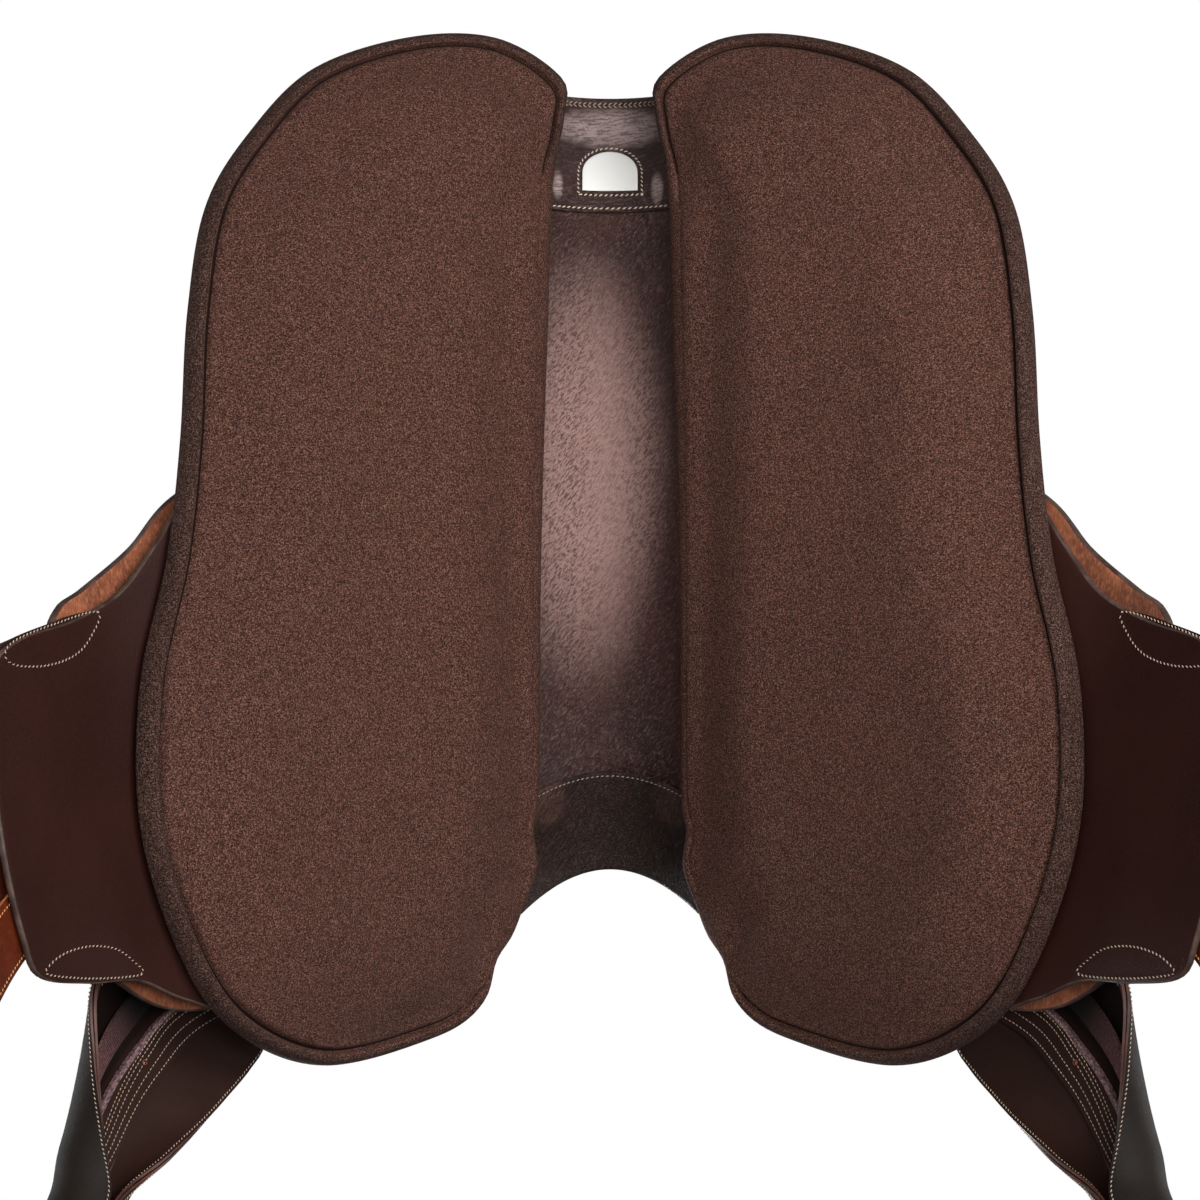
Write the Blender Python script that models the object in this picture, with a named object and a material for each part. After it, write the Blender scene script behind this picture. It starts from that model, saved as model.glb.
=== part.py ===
"""All-purpose saddle with swinging fenders. Metres, +Z up, -Y towards the horse's head, +X the rider's left.

The origin is the underside of the gullet lining, half way along it. Most pieces are laid out on the horse's
back: s runs from the gullet edge down the side, y runs to the rear, and h stands off the back.
"""

import bisect
import math

import bmesh
import bpy
from mathutils import Matrix, Vector

# Back that the saddle is shaped to
gullet_half_width = 0.031
gullet_depth = 0.030
rocker = 0.45
rocker_centre_y = -0.020
front_y = -0.250
rear_y = 0.260
front_slopes = (35.0, 52.4)
rear_slopes = (11.3, 31.8)
panel_reach = 0.215
flap_bend = 0.070
flap_slope = 66.0

# Panels
rim_width = 0.011
rim_height = 0.018
seam_depth = 0.0035
crown_height = 0.033
panel_top_gap = 0.0030

# Leather
gap = 0.0003
seat_gap = 0.0009
lining_thickness = 0.0025
lining_half_width = 0.046
lining_drop = 0.029
sweat_flap_thickness = 0.0032
billet_thickness = 0.0026
billet_width = 0.028
billet_length = 0.375
flap_thickness = 0.0038
flap_height = 0.0140
block_height = 0.0085
skirt_thickness = 0.0038

# Tree, gullet plate and seat
tree_thickness = 0.009
tree_clearance = 0.0024
plate_thickness = 0.003
cover_thickness = 0.0028
pommel_y = -0.164
cantle_y = 0.240
pommel_height = 0.074
seat_low_height = 0.052
cantle_height = 0.128
arch_start_y = -0.100
arch_rise = 0.016
facing_start_y = 0.175
facing_rise = 0.018
facing_front_y = -0.1665
facing_seam_y = -0.1135
lining_front_y = -0.1360
arch_bow = 0.021
seam_bow = 0.019
rear_facing_start_y = 0.1787
rear_facing_end_y = 0.2435

# Stirrup bar, its leather loop and the fender
bar_s = 0.104
bar_y = -0.130
bar_stand = 0.0142
bar_radius = 0.0043
bar_length = 0.062
bar_reach = 0.030
bar_plate = (0.064, 0.016, 0.0028)
catch_size = (0.0060, 0.0420, 0.0026)
catch_gap = 0.0018
loop_width = 0.030
loop_thickness = 0.0033
loop_clearance = 0.0009
loop_reach = 0.004
fender_tilt = 60.0
fender_toe = 10.0
fender_thickness = 0.0040
fender_stand = 0.033
fender_dip_radius = 0.125
dip_clearance = 0.003
fender_length = 0.410
strap_width = 0.022
strap_aside = 0.005
strap_thickness = 0.0032
tail_start = 0.105
tail_width = 0.015
tail_gap = 0.0060
tail_lift = 0.0010
tail_thickness = 0.0026

colours = {
    "serge": (0.065, 0.033, 0.026, 0.95, 0.0),
    "leather": (0.032, 0.011, 0.007, 0.42, 0.0),
    "lining": (0.070, 0.036, 0.030, 0.38, 0.0),
    "suede": (0.330, 0.120, 0.050, 0.85, 0.0),
    "billet": (0.110, 0.024, 0.010, 0.45, 0.0),
    "shell": (0.030, 0.030, 0.032, 0.55, 0.0),
    "foam": (0.600, 0.560, 0.420, 0.95, 0.0),
    "steel": (0.550, 0.550, 0.560, 0.30, 1.0),
    "ivory": (0.800, 0.790, 0.740, 0.40, 0.0),
}


def clear_scene():
    for obj in list(bpy.data.objects):
        bpy.data.objects.remove(obj, do_unlink=True)


def material(name):
    found = bpy.data.materials.get(name)
    if found:
        return found
    red, green, blue, roughness, metallic = colours[name]
    made = bpy.data.materials.new(name)
    made.use_nodes = True
    shader = made.node_tree.nodes["Principled BSDF"]
    shader.inputs["Base Color"].default_value = (red, green, blue, 1.0)
    shader.inputs["Roughness"].default_value = roughness
    shader.inputs["Metallic"].default_value = metallic
    return made


def mix(a, b, t):
    return a + (b - a) * t


def ease(t):
    t = min(1.0, max(0.0, t))
    return t * t * (3.0 - 2.0 * t)


def through(points, x):
    """Smooth curve through points sorted by their first number, flat beyond the ends."""
    places = [p[0] for p in points]
    if x <= places[0]:
        return points[0][1]
    if x >= places[-1]:
        return points[-1][1]
    i = bisect.bisect_right(places, x) - 1
    (x0, y0), (x1, y1) = points[i], points[i + 1]
    before = points[max(i - 1, 0)]
    after = points[min(i + 2, len(points) - 1)]
    span = x1 - x0
    lean0 = (y1 - before[1]) / (x1 - before[0]) * span
    lean1 = (after[1] - y0) / (after[0] - x0) * span
    t = (x - x0) / span
    return (
        (2 * t**3 - 3 * t**2 + 1) * y0
        + (t**3 - 2 * t**2 + t) * lean0
        + (3 * t**2 - 2 * t**3) * y1
        + (t**3 - t**2) * lean1
    )


def closed_curve(points, count):
    """Evenly spaced points on a smooth closed curve through the given ones."""
    size = len(points)
    fine = []
    steps = 12
    for i in range(size):
        a, b, c, d = (points[(i + k) % size] for k in (-1, 0, 1, 2))
        for j in range(steps):
            t = j / steps
            fine.append(
                tuple(
                    0.5 * (2 * b[k] + (c[k] - a[k]) * t
                           + (2 * a[k] - 5 * b[k] + 4 * c[k] - d[k]) * t * t
                           + (3 * b[k] - a[k] - 3 * c[k] + d[k]) * t**3)
                    for k in (0, 1)
                )
            )
    lengths = [0.0]
    for i, point in enumerate(fine):
        following = fine[(i + 1) % len(fine)]
        lengths.append(lengths[-1] + math.dist(point, following))
    found = []
    for i in range(count):
        along = lengths[-1] * i / count
        j = bisect.bisect_right(lengths, along) - 1
        t = (along - lengths[j]) / (lengths[j + 1] - lengths[j])
        a, b = fine[j], fine[(j + 1) % len(fine)]
        found.append((mix(a[0], b[0], t), mix(a[1], b[1], t)))
    return found


# The horse's back, as a surface with its own coordinates

def slope(s, y):
    t = ease((y - front_y) / (rear_y - front_y))
    inner = mix(front_slopes[0], rear_slopes[0], t)
    outer = mix(front_slopes[1], rear_slopes[1], t)
    on_panel = mix(inner, outer, min(s, panel_reach) / panel_reach)
    bend = ease((s - panel_reach) / flap_bend)
    return math.radians(mix(on_panel, flap_slope, bend))


def gullet_edge_z(y):
    return rocker * (y - rocker_centre_y) ** 2 - gullet_depth


columns = {}
column_step = 0.0025
column_count = 230


def column(y):
    key = round(y, 5)
    if key not in columns:
        x, z, s = gullet_half_width, gullet_edge_z(y), 0.0
        points = [(x, z)]
        for _ in range(column_count):
            angle = slope(s + column_step / 2, y)
            x += column_step * math.cos(angle)
            z -= column_step * math.sin(angle)
            s += column_step
            points.append((x, z))
        columns[key] = points
    return columns[key]


def on_back(s, y, h=0.0):
    """The point at s down the side, y along and h off the back, on the rider's left."""
    points = column(y)
    angle = slope(max(s, 0.0), y)
    along = max(s, 0.0) / column_step
    i = min(int(along), len(points) - 2)
    t = along - i
    x = mix(points[i][0], points[i + 1][0], t) + min(s, 0.0) * math.cos(angle)
    z = mix(points[i][1], points[i + 1][1], t) - min(s, 0.0) * math.sin(angle)
    return Vector((x + h * math.sin(angle), y, z + h * math.cos(angle)))


def back_z(x, y):
    """Height of the back at x, and its level beside the gullet inside that."""
    points = column(y)
    i = bisect.bisect_right([p[0] for p in points], x) - 1
    if i < 0:
        return points[0][1]
    i = min(i, len(points) - 2)
    (x0, z0), (x1, z1) = points[i], points[i + 1]
    return mix(z0, z1, (x - x0) / (x1 - x0))


# Solids

def finish(name, mesh, surface, smooth_angle=45.0):
    mesh.shade_smooth()
    mesh.set_sharp_from_angle(angle=math.radians(smooth_angle))
    obj = bpy.data.objects.new(name, mesh)
    bpy.context.scene.collection.objects.link(obj)
    mesh.materials.append(material(surface))
    return obj


def mesh_of(name, points, faces):
    mesh = bpy.data.meshes.new(name)
    mesh.from_pydata([tuple(p) for p in points], [], faces)
    shape = bmesh.new()
    shape.from_mesh(mesh)
    bmesh.ops.remove_doubles(shape, verts=shape.verts, dist=2e-6)
    bmesh.ops.recalc_face_normals(shape, faces=shape.faces)
    shape.to_mesh(mesh)
    shape.free()
    return mesh


def sided(point, side):
    return (point[0] * side, point[1], point[2])


def strip_faces(ring, spine):
    """Triangles across a flat ring of points, from one end of its spine to the other."""
    (s0, y0), (s1, y1) = spine
    along = [(p[0] - s0) * (s1 - s0) + (p[1] - y0) * (y1 - y0) for p in ring]
    count = len(ring)
    i = j = along.index(max(along))
    end = along.index(min(along))
    faces = []
    while i != end or j != end:
        onward, back = (i + 1) % count, (j - 1) % count
        if j == end or (i != end and along[onward] >= along[back]):
            faces.append((i, onward, j))
            i = onward
        else:
            faces.append((i, back, j))
            j = back
    return [face for face in faces if len(set(face)) == 3]


def rings_solid(name, rings, surface, side=1.0, ends=()):
    """Skins over rings of equally many points; ends are the faces that close the first and the last."""
    count = len(rings[0])
    points = [sided(p, side) for ring in rings for p in ring]
    faces = []
    for k in range(len(rings) - 1):
        for i in range(count):
            j = (i + 1) % count
            faces.append((k * count + i, k * count + j, (k + 1) * count + j, (k + 1) * count + i))
    last = (len(rings) - 1) * count
    faces += [tuple(face) for face in ends]
    faces += [tuple(last + i for i in reversed(face)) for face in ends]
    return finish(name, mesh_of(name, points, faces), surface)


def grid_solid(name, over, under, surface, side=1.0):
    """A closed solid between two grids of points of the same size."""
    rows, cols = len(over), len(over[0])
    points = [sided(p, side) for row in over for p in row]
    points += [sided(p, side) for row in under for p in row]
    base = rows * cols
    faces = []
    for i in range(rows - 1):
        for j in range(cols - 1):
            a, b = i * cols + j, i * cols + j + 1
            c, d = (i + 1) * cols + j + 1, (i + 1) * cols + j
            faces.append((a, b, c, d))
            faces.append((base + c, base + b, base + a, base + d))
    border = [(0, j) for j in range(cols)] + [(i, cols - 1) for i in range(1, rows)]
    border += [(rows - 1, j) for j in range(cols - 2, -1, -1)] + [(i, 0) for i in range(rows - 2, 0, -1)]
    for (i, j), (k, m) in zip(border, border[1:] + border[:1]):
        a, b = i * cols + j, k * cols + m
        faces.append((b, a, base + a, base + b))
    return finish(name, mesh_of(name, points, faces), surface)


innermost = 0.86


def toward(point, spine, inset):
    """A point moved in from the outline by inset, on the way to the nearest point of the spine."""
    (s0, y0), (s1, y1) = spine
    along = (point[0] - s0) * (s1 - s0) + (point[1] - y0) * (y1 - y0)
    share = min(1.0, max(0.0, along / math.dist((s0, y0), (s1, y1)) ** 2))
    s, y = mix(s0, s1, share), mix(y0, y1, share)
    length = math.dist(point, (s, y))
    share = min(innermost, inset / max(length, 1e-6))
    return mix(point[0], s, share), mix(point[1], y, share)


def sheet(name, outline, spine, count, insets, lower, upper, surface, side):
    """A leather sheet on the back: lower and upper give its two faces' heights at (s, y)."""
    edge = closed_curve(outline, count)
    over = [[toward(p, spine, inset) for p in edge] for inset in insets]
    rings = [[on_back(s, y, upper(s, y)) for s, y in ring] for ring in reversed(over)]
    rings += [[on_back(s, y, lower(s, y)) for s, y in ring] for ring in over]
    return rings_solid(name, rings, surface, side, strip_faces(over[-1], spine))


def tube(name, path, radius, sides, surface):
    curve = bpy.data.curves.new(name, "CURVE")
    curve.dimensions = "3D"
    curve.bevel_depth = radius
    curve.bevel_resolution = sides // 4 - 1
    curve.use_fill_caps = True
    spline = curve.splines.new("POLY")
    spline.points.add(len(path) - 1)
    for point, place in zip(spline.points, path):
        point.co = (*place, 1.0)
    guide = bpy.data.objects.new(name + "_guide", curve)
    mesh = bpy.data.meshes.new_from_object(guide)
    bpy.data.objects.remove(guide)
    shape = bmesh.new()
    shape.from_mesh(mesh)
    bmesh.ops.remove_doubles(shape, verts=shape.verts, dist=2e-6)
    bmesh.ops.recalc_face_normals(shape, faces=shape.faces)
    shape.to_mesh(mesh)
    shape.free()
    mesh.materials.clear()
    return finish(name, mesh, surface)


def frame_at(origin, x_axis, z_axis):
    """A matrix with the given X direction, and Z as near as it can be to the one given."""
    x_axis = x_axis.normalized()
    y_axis = z_axis.cross(x_axis).normalized()
    z_axis = x_axis.cross(y_axis)
    turned = Matrix((x_axis, y_axis, z_axis)).transposed().to_4x4()
    return Matrix.Translation(origin) @ turned


def block(name, size, place, surface, bevel=0.0):
    shape = bmesh.new()
    bmesh.ops.create_cube(shape, size=1.0)
    bmesh.ops.scale(shape, vec=size, verts=shape.verts)
    if bevel:
        bmesh.ops.bevel(shape, geom=shape.edges[:], offset=bevel, segments=1, affect="EDGES")
    bmesh.ops.transform(shape, matrix=place, verts=shape.verts)
    bmesh.ops.recalc_face_normals(shape, faces=shape.faces)
    mesh = bpy.data.meshes.new(name)
    shape.to_mesh(mesh)
    shape.free()
    return finish(name, mesh, surface)


def hang(obj, pivot, side):
    """Gives a moving piece its origin on its joint."""
    place = Vector(sided(pivot, side))
    obj.data.transform(Matrix.Translation(-place))
    obj.location = place


def union(base, other):
    joined = base.modifiers.new("join", "BOOLEAN")
    joined.operation = "UNION"
    joined.solver = "EXACT"
    joined.object = other
    other.hide_render = True
    other.display_type = "WIRE"


def mirrored(matrix, side):
    if side > 0:
        return matrix
    flip = Matrix.Diagonal((-1.0, 1.0, 1.0, 1.0))
    return flip @ matrix @ flip


# Panels

panel_edge = [
    (-0.0044, 0.2463), (0.0301, 0.2662), (0.0760, 0.2645), (0.1270, 0.2446), (0.1612, 0.2079),
    (0.1840, 0.1689), (0.1951, 0.1155), (0.2033, 0.0513), (0.2174, -0.0065), (0.2430, -0.0666),
    (0.2544, -0.1265), (0.2400, -0.1812), (0.2095, -0.2235), (0.1512, -0.2497), (0.0804, -0.2433),
    (0.0494, -0.2289), (0.0398, -0.2078), (0.0296, -0.1956), (0.0222, -0.1813), (0.0130, -0.1600),
    (0.0148, -0.1400), (0.0110, -0.1206), (0.0074, -0.0043), (0.0025, 0.1127), (-0.0003, 0.1899),
    (-0.0062, 0.2250),
]
panel_spine = ((0.128, -0.130), (0.092, 0.160))


def panel_bottom(inset, depth):
    """How far the panel hangs below the back, from its rim over the seam to the crown."""
    if inset < rim_width:
        return rim_height * (0.55 + 0.45 * math.sin(math.pi / 2 * inset / rim_width))
    if inset < rim_width * 1.25:
        return rim_height - seam_depth
    return mix(rim_height, crown_height, ease((inset - rim_width) / depth))


def panel(side, name):
    edge = closed_curve(panel_edge, 60)
    crown_run = 0.055
    insets = (0.0, rim_width * 0.45, rim_width * 0.9, rim_width * 1.15, rim_width * 1.6, 0.034, 0.060, 1.0)
    rings = []
    for inset in (1.0, 0.070, 0.045, 0.022, 0.0):
        rings.append([on_back(*toward(p, panel_spine, inset), -panel_top_gap) for p in edge])
    for inset in insets:
        h = -panel_bottom(inset, crown_run)
        rings.append([on_back(*toward(p, panel_spine, inset), h) for p in edge])
    middle = [toward(p, panel_spine, 1.0) for p in edge]
    return rings_solid(name, rings, "serge", side, strip_faces(middle, panel_spine))


# Gullet lining and its facings

def lining_z(x, y):
    """Underside of the lining: a shallow arch that rises at both ends."""
    level = rocker * ((y - rocker_centre_y) ** 2 - rocker_centre_y**2)
    level += arch_rise * ease((arch_start_y - y) / (arch_start_y - pommel_y))
    level += facing_rise * ease((y - facing_start_y) / (cantle_y - facing_start_y))
    return level - lining_drop * (x / lining_half_width) ** 2


def strip_across(name, y_from, y_to, half_width, lift, thickness, rows, surface, bow=0.0, rear_bow=0.0):
    """A strip laid across the gullet; the bows carry its two edges forward at the sides."""
    over, under = [], []
    cols = 12
    for i in range(rows + 1):
        row_over, row_under = [], []
        for j in range(cols + 1):
            t = 2.0 * j / cols - 1.0
            x = half_width * t
            y = mix(y_from - bow * t * t, y_to - rear_bow * t * t, i / rows)
            z = lining_z(x, y) + lift
            row_under.append((x, y, z))
            row_over.append((x, y, z + thickness))
        over.append(row_over)
        under.append(row_under)
    return grid_solid(name, over, under, surface)


def gullet():
    strip_across("gullet_lining", lining_front_y, facing_start_y + 0.012, lining_half_width, 0.0,
                 lining_thickness, 18, "lining")
    under = -lining_thickness - seat_gap
    strip_across("front_facing", facing_front_y, facing_seam_y, lining_half_width, under, lining_thickness, 6,
                 "leather", bow=arch_bow, rear_bow=seam_bow)
    strip_across("rear_facing", rear_facing_start_y, rear_facing_end_y, lining_half_width * 0.92, under,
                 lining_thickness, 6, "lining")
    label_plate()


plate_width = 0.0290
plate_length = 0.0225
plate_centre_y = 0.2015


def label_plate():
    """The blank plate sewn to the rear facing: straight below, arched above."""
    half = plate_width / 2
    count = 22
    outline = [(-half, 0.0), (half, 0.0)]
    shoulder = plate_length * 0.45
    for i in range(count - 4):
        angle = math.pi * (i + 0.5) / (count - 4)
        outline.append((half * math.cos(angle), shoulder + (plate_length - shoulder) * math.sin(angle)))
    start = plate_centre_y - plate_length / 2
    rings = []
    for share, drop in ((0.0, 0.0), (1.0, 0.0), (1.0, 0.0012), (0.0, 0.0012)):
        ring = []
        for x, along in outline:
            y = start + plate_length / 2 + (along - plate_length / 2) * share
            z = lining_z(x * share, y) - lining_thickness - 2.0 * seat_gap - drop
            ring.append((x * share, y, z))
        rings.append(ring)
    rings_solid("label_plate", rings, "ivory")


# Tree, gullet plate and seat

seat_edge = [(pommel_y, 0.020), (-0.130, 0.040), (-0.060, 0.052), (0.0, 0.070), (0.060, 0.094),
             (0.120, 0.112), (0.180, 0.108), (0.220, 0.080), (cantle_y, 0.045)]
seat_height = [(pommel_y, pommel_height), (-0.120, pommel_height - 0.008), (-0.030, seat_low_height),
               (0.050, seat_low_height + 0.004), (0.140, mix(seat_low_height, cantle_height, 0.38)),
               (0.205, cantle_height - 0.012), (cantle_y, cantle_height)]
edge_height = [(pommel_y, 0.024), (-0.100, 0.016), (0.0, 0.013), (0.120, 0.030), (0.200, 0.066),
               (cantle_y, 0.098)]


seat_columns = 12
ledge = [(pommel_y, 0.046), (-0.130, 0.032), (-0.060, 0.018), (0.0, 0.008), (cantle_y, 0.005)]
foam_inset = 0.0050
wrap = 0.0035
foot_clearance = 0.0048
end_swell = 0.0030


def seat_rows():
    """The places along the saddle where the seat's layers have their points, closer over the arch."""
    front, rear = pommel_y + 0.004, cantle_y - 0.006
    rows = [mix(front, arch_start_y, i / 6) for i in range(6)]
    return rows + [mix(arch_start_y, rear, i / 12) for i in range(13)]


def tree_under(x, y):
    return max(lining_z(x, y) + lining_thickness + tree_clearance, back_z(abs(x), y) + tree_clearance)


def seat_half(y):
    return on_back(through(seat_edge, y), y).x


def seat_top(y, t):
    """Height of the seat at t across its half width."""
    edge_z = tree_under(seat_half(y), y) + tree_thickness + through(edge_height, y)
    return mix(through(seat_height, y), edge_z, abs(t) ** 2.4)


def across(y, half_columns):
    """Places across the seat, the same for each layer that lies under the cover."""
    steps = range(-half_columns, half_columns + 1)
    return [(seat_half(y) - foam_inset) * 2.0 * k / seat_columns for k in steps]


def layer(ys, half_columns, height, ledge_width=None):
    grid = []
    for y in ys:
        xs = across(y, half_columns)
        if ledge_width:
            edge = xs[-1] + through(ledge_width, y)
            xs = [-edge] + xs + [edge]
        grid.append([(x, y, height(x, y)) for x in xs])
    return grid


def tree():
    ys = seat_rows()
    half = seat_columns // 2
    grid_solid("tree", layer(ys, half, lambda x, y: tree_under(x, y) + tree_thickness, ledge),
               layer(ys, half, tree_under, ledge), "shell")


def head_plate():
    """The steel arch over the head of the tree."""
    ys = seat_rows()[:4]
    base = tree_thickness + seat_gap
    grid_solid("gullet_plate", layer(ys, 4, lambda x, y: tree_under(x, y) + base + plate_thickness),
               layer(ys, 4, lambda x, y: tree_under(x, y) + base), "steel")


def seat_end(over, under, end, outward):
    """Carries the cover down over the end of the foam and the tree, with a slight swell half way."""
    for grid, stand in ((over, seat_gap + cover_thickness), (under, seat_gap)):
        last = list(grid[end])
        feet = [(x, y, tree_under(x, y)) for x, y, _ in last]
        for share in (0.0, 0.5, 1.0):
            y_shift = outward * (stand + end_swell * math.sin(math.pi * share))
            row = [(a[0], a[1] + y_shift, mix(a[2], b[2], share)) for a, b in zip(last, feet)]
            grid.insert(0 if end == 0 else len(grid), row)


def seat():
    ys = seat_rows()
    half = seat_columns // 2
    over, under = [], []
    for y in ys:
        edge = seat_half(y)
        inside, outside = edge - foam_inset, edge - foam_inset + through(ledge, y)
        share = (foam_inset + wrap) / through(ledge, y)
        foot = mix(tree_under(inside, y), tree_under(outside, y), min(share, 1.0))
        foot += tree_thickness + foot_clearance
        row_over = [(-edge - wrap, y, foot)]
        row_under = [(-edge - wrap + cover_thickness, y, foot)]
        for k in range(-half, half + 1):
            t = k / half
            x = edge * t
            row_over.append((x, y, seat_top(y, t)))
            inner = max(-edge + cover_thickness, min(edge - cover_thickness, x))
            row_under.append((inner, y, seat_top(y, t) - cover_thickness))
        row_over.append((edge + wrap, y, foot))
        row_under.append((edge + wrap - cover_thickness, y, foot))
        over.append(row_over)
        under.append(row_under)
    for end, outward in ((0, -1.0), (-1, 1.0)):
        seat_end(over, under, end, outward)
    grid_solid("seat_cover", over, under, "leather")

    def foam_top(x, y):
        t = x / (seat_half(y) - foam_inset)
        return seat_top(y, t) - cover_thickness - seat_gap

    def foam_under(x, y):
        over_plate = plate_thickness + 2 * seat_gap if y < ys[5] + 0.001 else 0.0
        return tree_under(x, y) + tree_thickness + seat_gap + over_plate

    grid_solid("seat_foam", layer(ys, half, foam_top), layer(ys, half, foam_under), "foam")


# Flaps, skirts, blocks and billets

sweat_flap_edge = [
    (0.1060, 0.0600), (0.1500, 0.0560), (0.1900, 0.0350), (0.2177, 0.0033), (0.2431, -0.0208),
    (0.2771, -0.0336), (0.3216, -0.0421), (0.3450, -0.0560), (0.3525, -0.0950), (0.3526, -0.1354),
    (0.3456, -0.1702), (0.3360, -0.1876), (0.3003, -0.1944), (0.2613, -0.1979), (0.2312, -0.2096),
    (0.1850, -0.2220), (0.1250, -0.2150), (0.1060, -0.1850), (0.1060, -0.0600),
]
sweat_flap_spine = ((0.225, -0.140), (0.215, -0.060))
flap_edge = [
    (0.1190, 0.0420), (0.1600, 0.0440), (0.1990, 0.0245), (0.2240, 0.0000), (0.2510, -0.0189),
    (0.2684, -0.0282), (0.2790, -0.0450), (0.2840, -0.0900), (0.2800, -0.1500), (0.2680, -0.1880),
    (0.2500, -0.2052), (0.2237, -0.2167), (0.1850, -0.2180), (0.1400, -0.2080), (0.1190, -0.1900),
    (0.1175, -0.0700),
]
flap_spine = ((0.195, -0.140), (0.195, -0.040))
skirt_edge = [
    (0.0880, 0.0100), (0.1080, 0.0000), (0.1260, -0.0260), (0.1400, -0.0620), (0.1470, -0.1050),
    (0.1460, -0.1450), (0.1320, -0.1760), (0.1030, -0.1900), (0.0740, -0.1880), (0.0580, -0.1760),
    (0.0600, -0.1100), (0.0690, -0.0500), (0.0800, -0.0060),
]
skirt_spine = ((0.103, -0.130), (0.098, -0.050))
skirt_heights = [(0.052, 0.0185), (0.062, 0.0200), (0.077, 0.0230), (0.091, 0.0470), (0.110, 0.0540),
                 (0.150, 0.0550)]
sheet_insets = (0.0, 0.020, 0.042, 0.068, 1.0)
skirt_insets = (0.0, 0.008, 0.016, 0.025, 0.035, 1.0)


def skirt_hinge():
    """The seam that the skirt turns on: a point half way along it, and its direction."""
    front, rear = on_back(0.0540, -0.180, 0.0175), on_back(0.0850, 0.012, 0.0175)
    return (front + rear) / 2, (rear - front).normalized()


def level(h):
    return lambda s, y: h


def flaps(side, hand):
    sheet("sweat_flap_" + hand, sweat_flap_edge, sweat_flap_spine, 34, sheet_insets, level(0.0),
          level(sweat_flap_thickness), "leather", side)
    flap = sheet("flap_" + hand, flap_edge, flap_spine, 30, sheet_insets, level(flap_height),
                 level(flap_height + flap_thickness), "leather", side)
    hang(flap, bar_centre, side)
    skirt = sheet("skirt_" + hand, skirt_edge, skirt_spine, 36, skirt_insets,
                  lambda s, y: through(skirt_heights, s),
                  lambda s, y: through(skirt_heights, s) + skirt_thickness, "leather", side)
    hang(skirt, skirt_hinge()[0], side)


thigh_block_edge = [(0.2595, -0.0300), (0.2660, -0.0405), (0.2800, -0.0490), (0.3030, -0.0535),
                    (0.3270, -0.0530), (0.3345, -0.0485), (0.3250, -0.0420), (0.2900, -0.0345)]
knee_block_edge = [(0.2600, -0.1945), (0.2650, -0.1880), (0.2780, -0.1810), (0.2980, -0.1778),
                   (0.3180, -0.1790), (0.3310, -0.1835), (0.3300, -0.1870), (0.2950, -0.1925)]


def blocks(side, hand):
    base = sweat_flap_thickness + gap
    for name, edge, spine in (
        ("thigh_block_", thigh_block_edge, ((0.288, -0.0425), (0.314, -0.0470))),
        ("knee_block_", knee_block_edge, ((0.282, -0.1865), (0.314, -0.1850))),
    ):
        outline = closed_curve(edge, 20)
        rings = []
        for inset, height in ((1.0, 0.0), (0.0, 0.0), (0.0005, 0.45), (0.003, 0.85), (1.0, 1.0)):
            rings.append([on_back(*toward(p, spine, inset), base + block_height * height) for p in outline])
        middle = [toward(p, spine, 1.0) for p in outline]
        rings_solid(name + hand, rings, "leather", side, strip_faces(middle, spine))


def billet(name, top_s, shape, side):
    """A girth strap: it starts on the tree, lies on the sweat flap and ends in a rounded point."""
    top_y, lean, curl, curl_start, curl_run, h = shape
    rows = 22
    over, under = [], []
    s, y = top_s, top_y
    step = billet_length / rows
    for i in range(rows + 1):
        t = i / rows
        angle = math.radians(lean + curl * ease((t - curl_start) / curl_run))
        end = billet_length * (1.0 - t)
        half = billet_width / 2
        if end < half:
            half *= math.sqrt(max(0.06, 1.0 - (1.0 - end / half) ** 2))
        row_over, row_under = [], []
        for k in (-1.0, 0.0, 1.0):
            ps, py = s + k * half * math.sin(angle), y + k * half * math.cos(angle)
            row_under.append(on_back(ps, py, h))
            row_over.append(on_back(ps, py, h + billet_thickness))
        over.append(row_over)
        under.append(row_under)
        s += step * math.cos(angle)
        y -= step * math.sin(angle)
    hang(grid_solid(name, over, under, "billet", side), on_back(top_s + 0.008, top_y, h), side)


billet_top_s = 0.118
front_billet_y = -0.122
front_billet_height = 0.0045
rear_billet_y = -0.086
rear_billet_height = 0.0099
front_billet = (front_billet_y, 9.0, 36.0, 0.45, 0.30, front_billet_height)
rear_billet = (rear_billet_y, 11.0, 34.0, 0.42, 0.28, rear_billet_height)


def billets(side, hand):
    billet("front_billet_" + hand, billet_top_s, front_billet, side)
    billet("rear_billet_" + hand, billet_top_s, rear_billet, side)


# Stirrup bar, loop and fender

def back_normal(s, y):
    angle = slope(s, y)
    return Vector((math.sin(angle), 0.0, math.cos(angle)))


def bar_axis():
    back = on_back(bar_s, 0.030, bar_stand)
    front = on_back(bar_s, -0.190, bar_stand)
    return (back - front).normalized()


bar_centre = on_back(bar_s, bar_y, bar_stand)


def fender_frame():
    """Columns: down the side, forward, and outward from the fender's plane; the origin is on the swing axis."""
    tilt, toe = math.radians(fender_tilt), math.radians(fender_toe)
    down = Vector((math.cos(tilt), 0.0, -math.sin(tilt)))
    along = Vector((math.sin(toe), math.cos(toe), 0.0))
    out = along.cross(down).normalized()
    if out.x < 0:
        out = -out
    ahead = down.cross(out).normalized()
    if ahead.y > 0:
        ahead = -ahead
    base = on_back(panel_reach + flap_bend, bar_y, fender_stand)
    origin = bar_centre + out * out.dot(base - bar_centre)
    return origin, down, ahead, out


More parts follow.
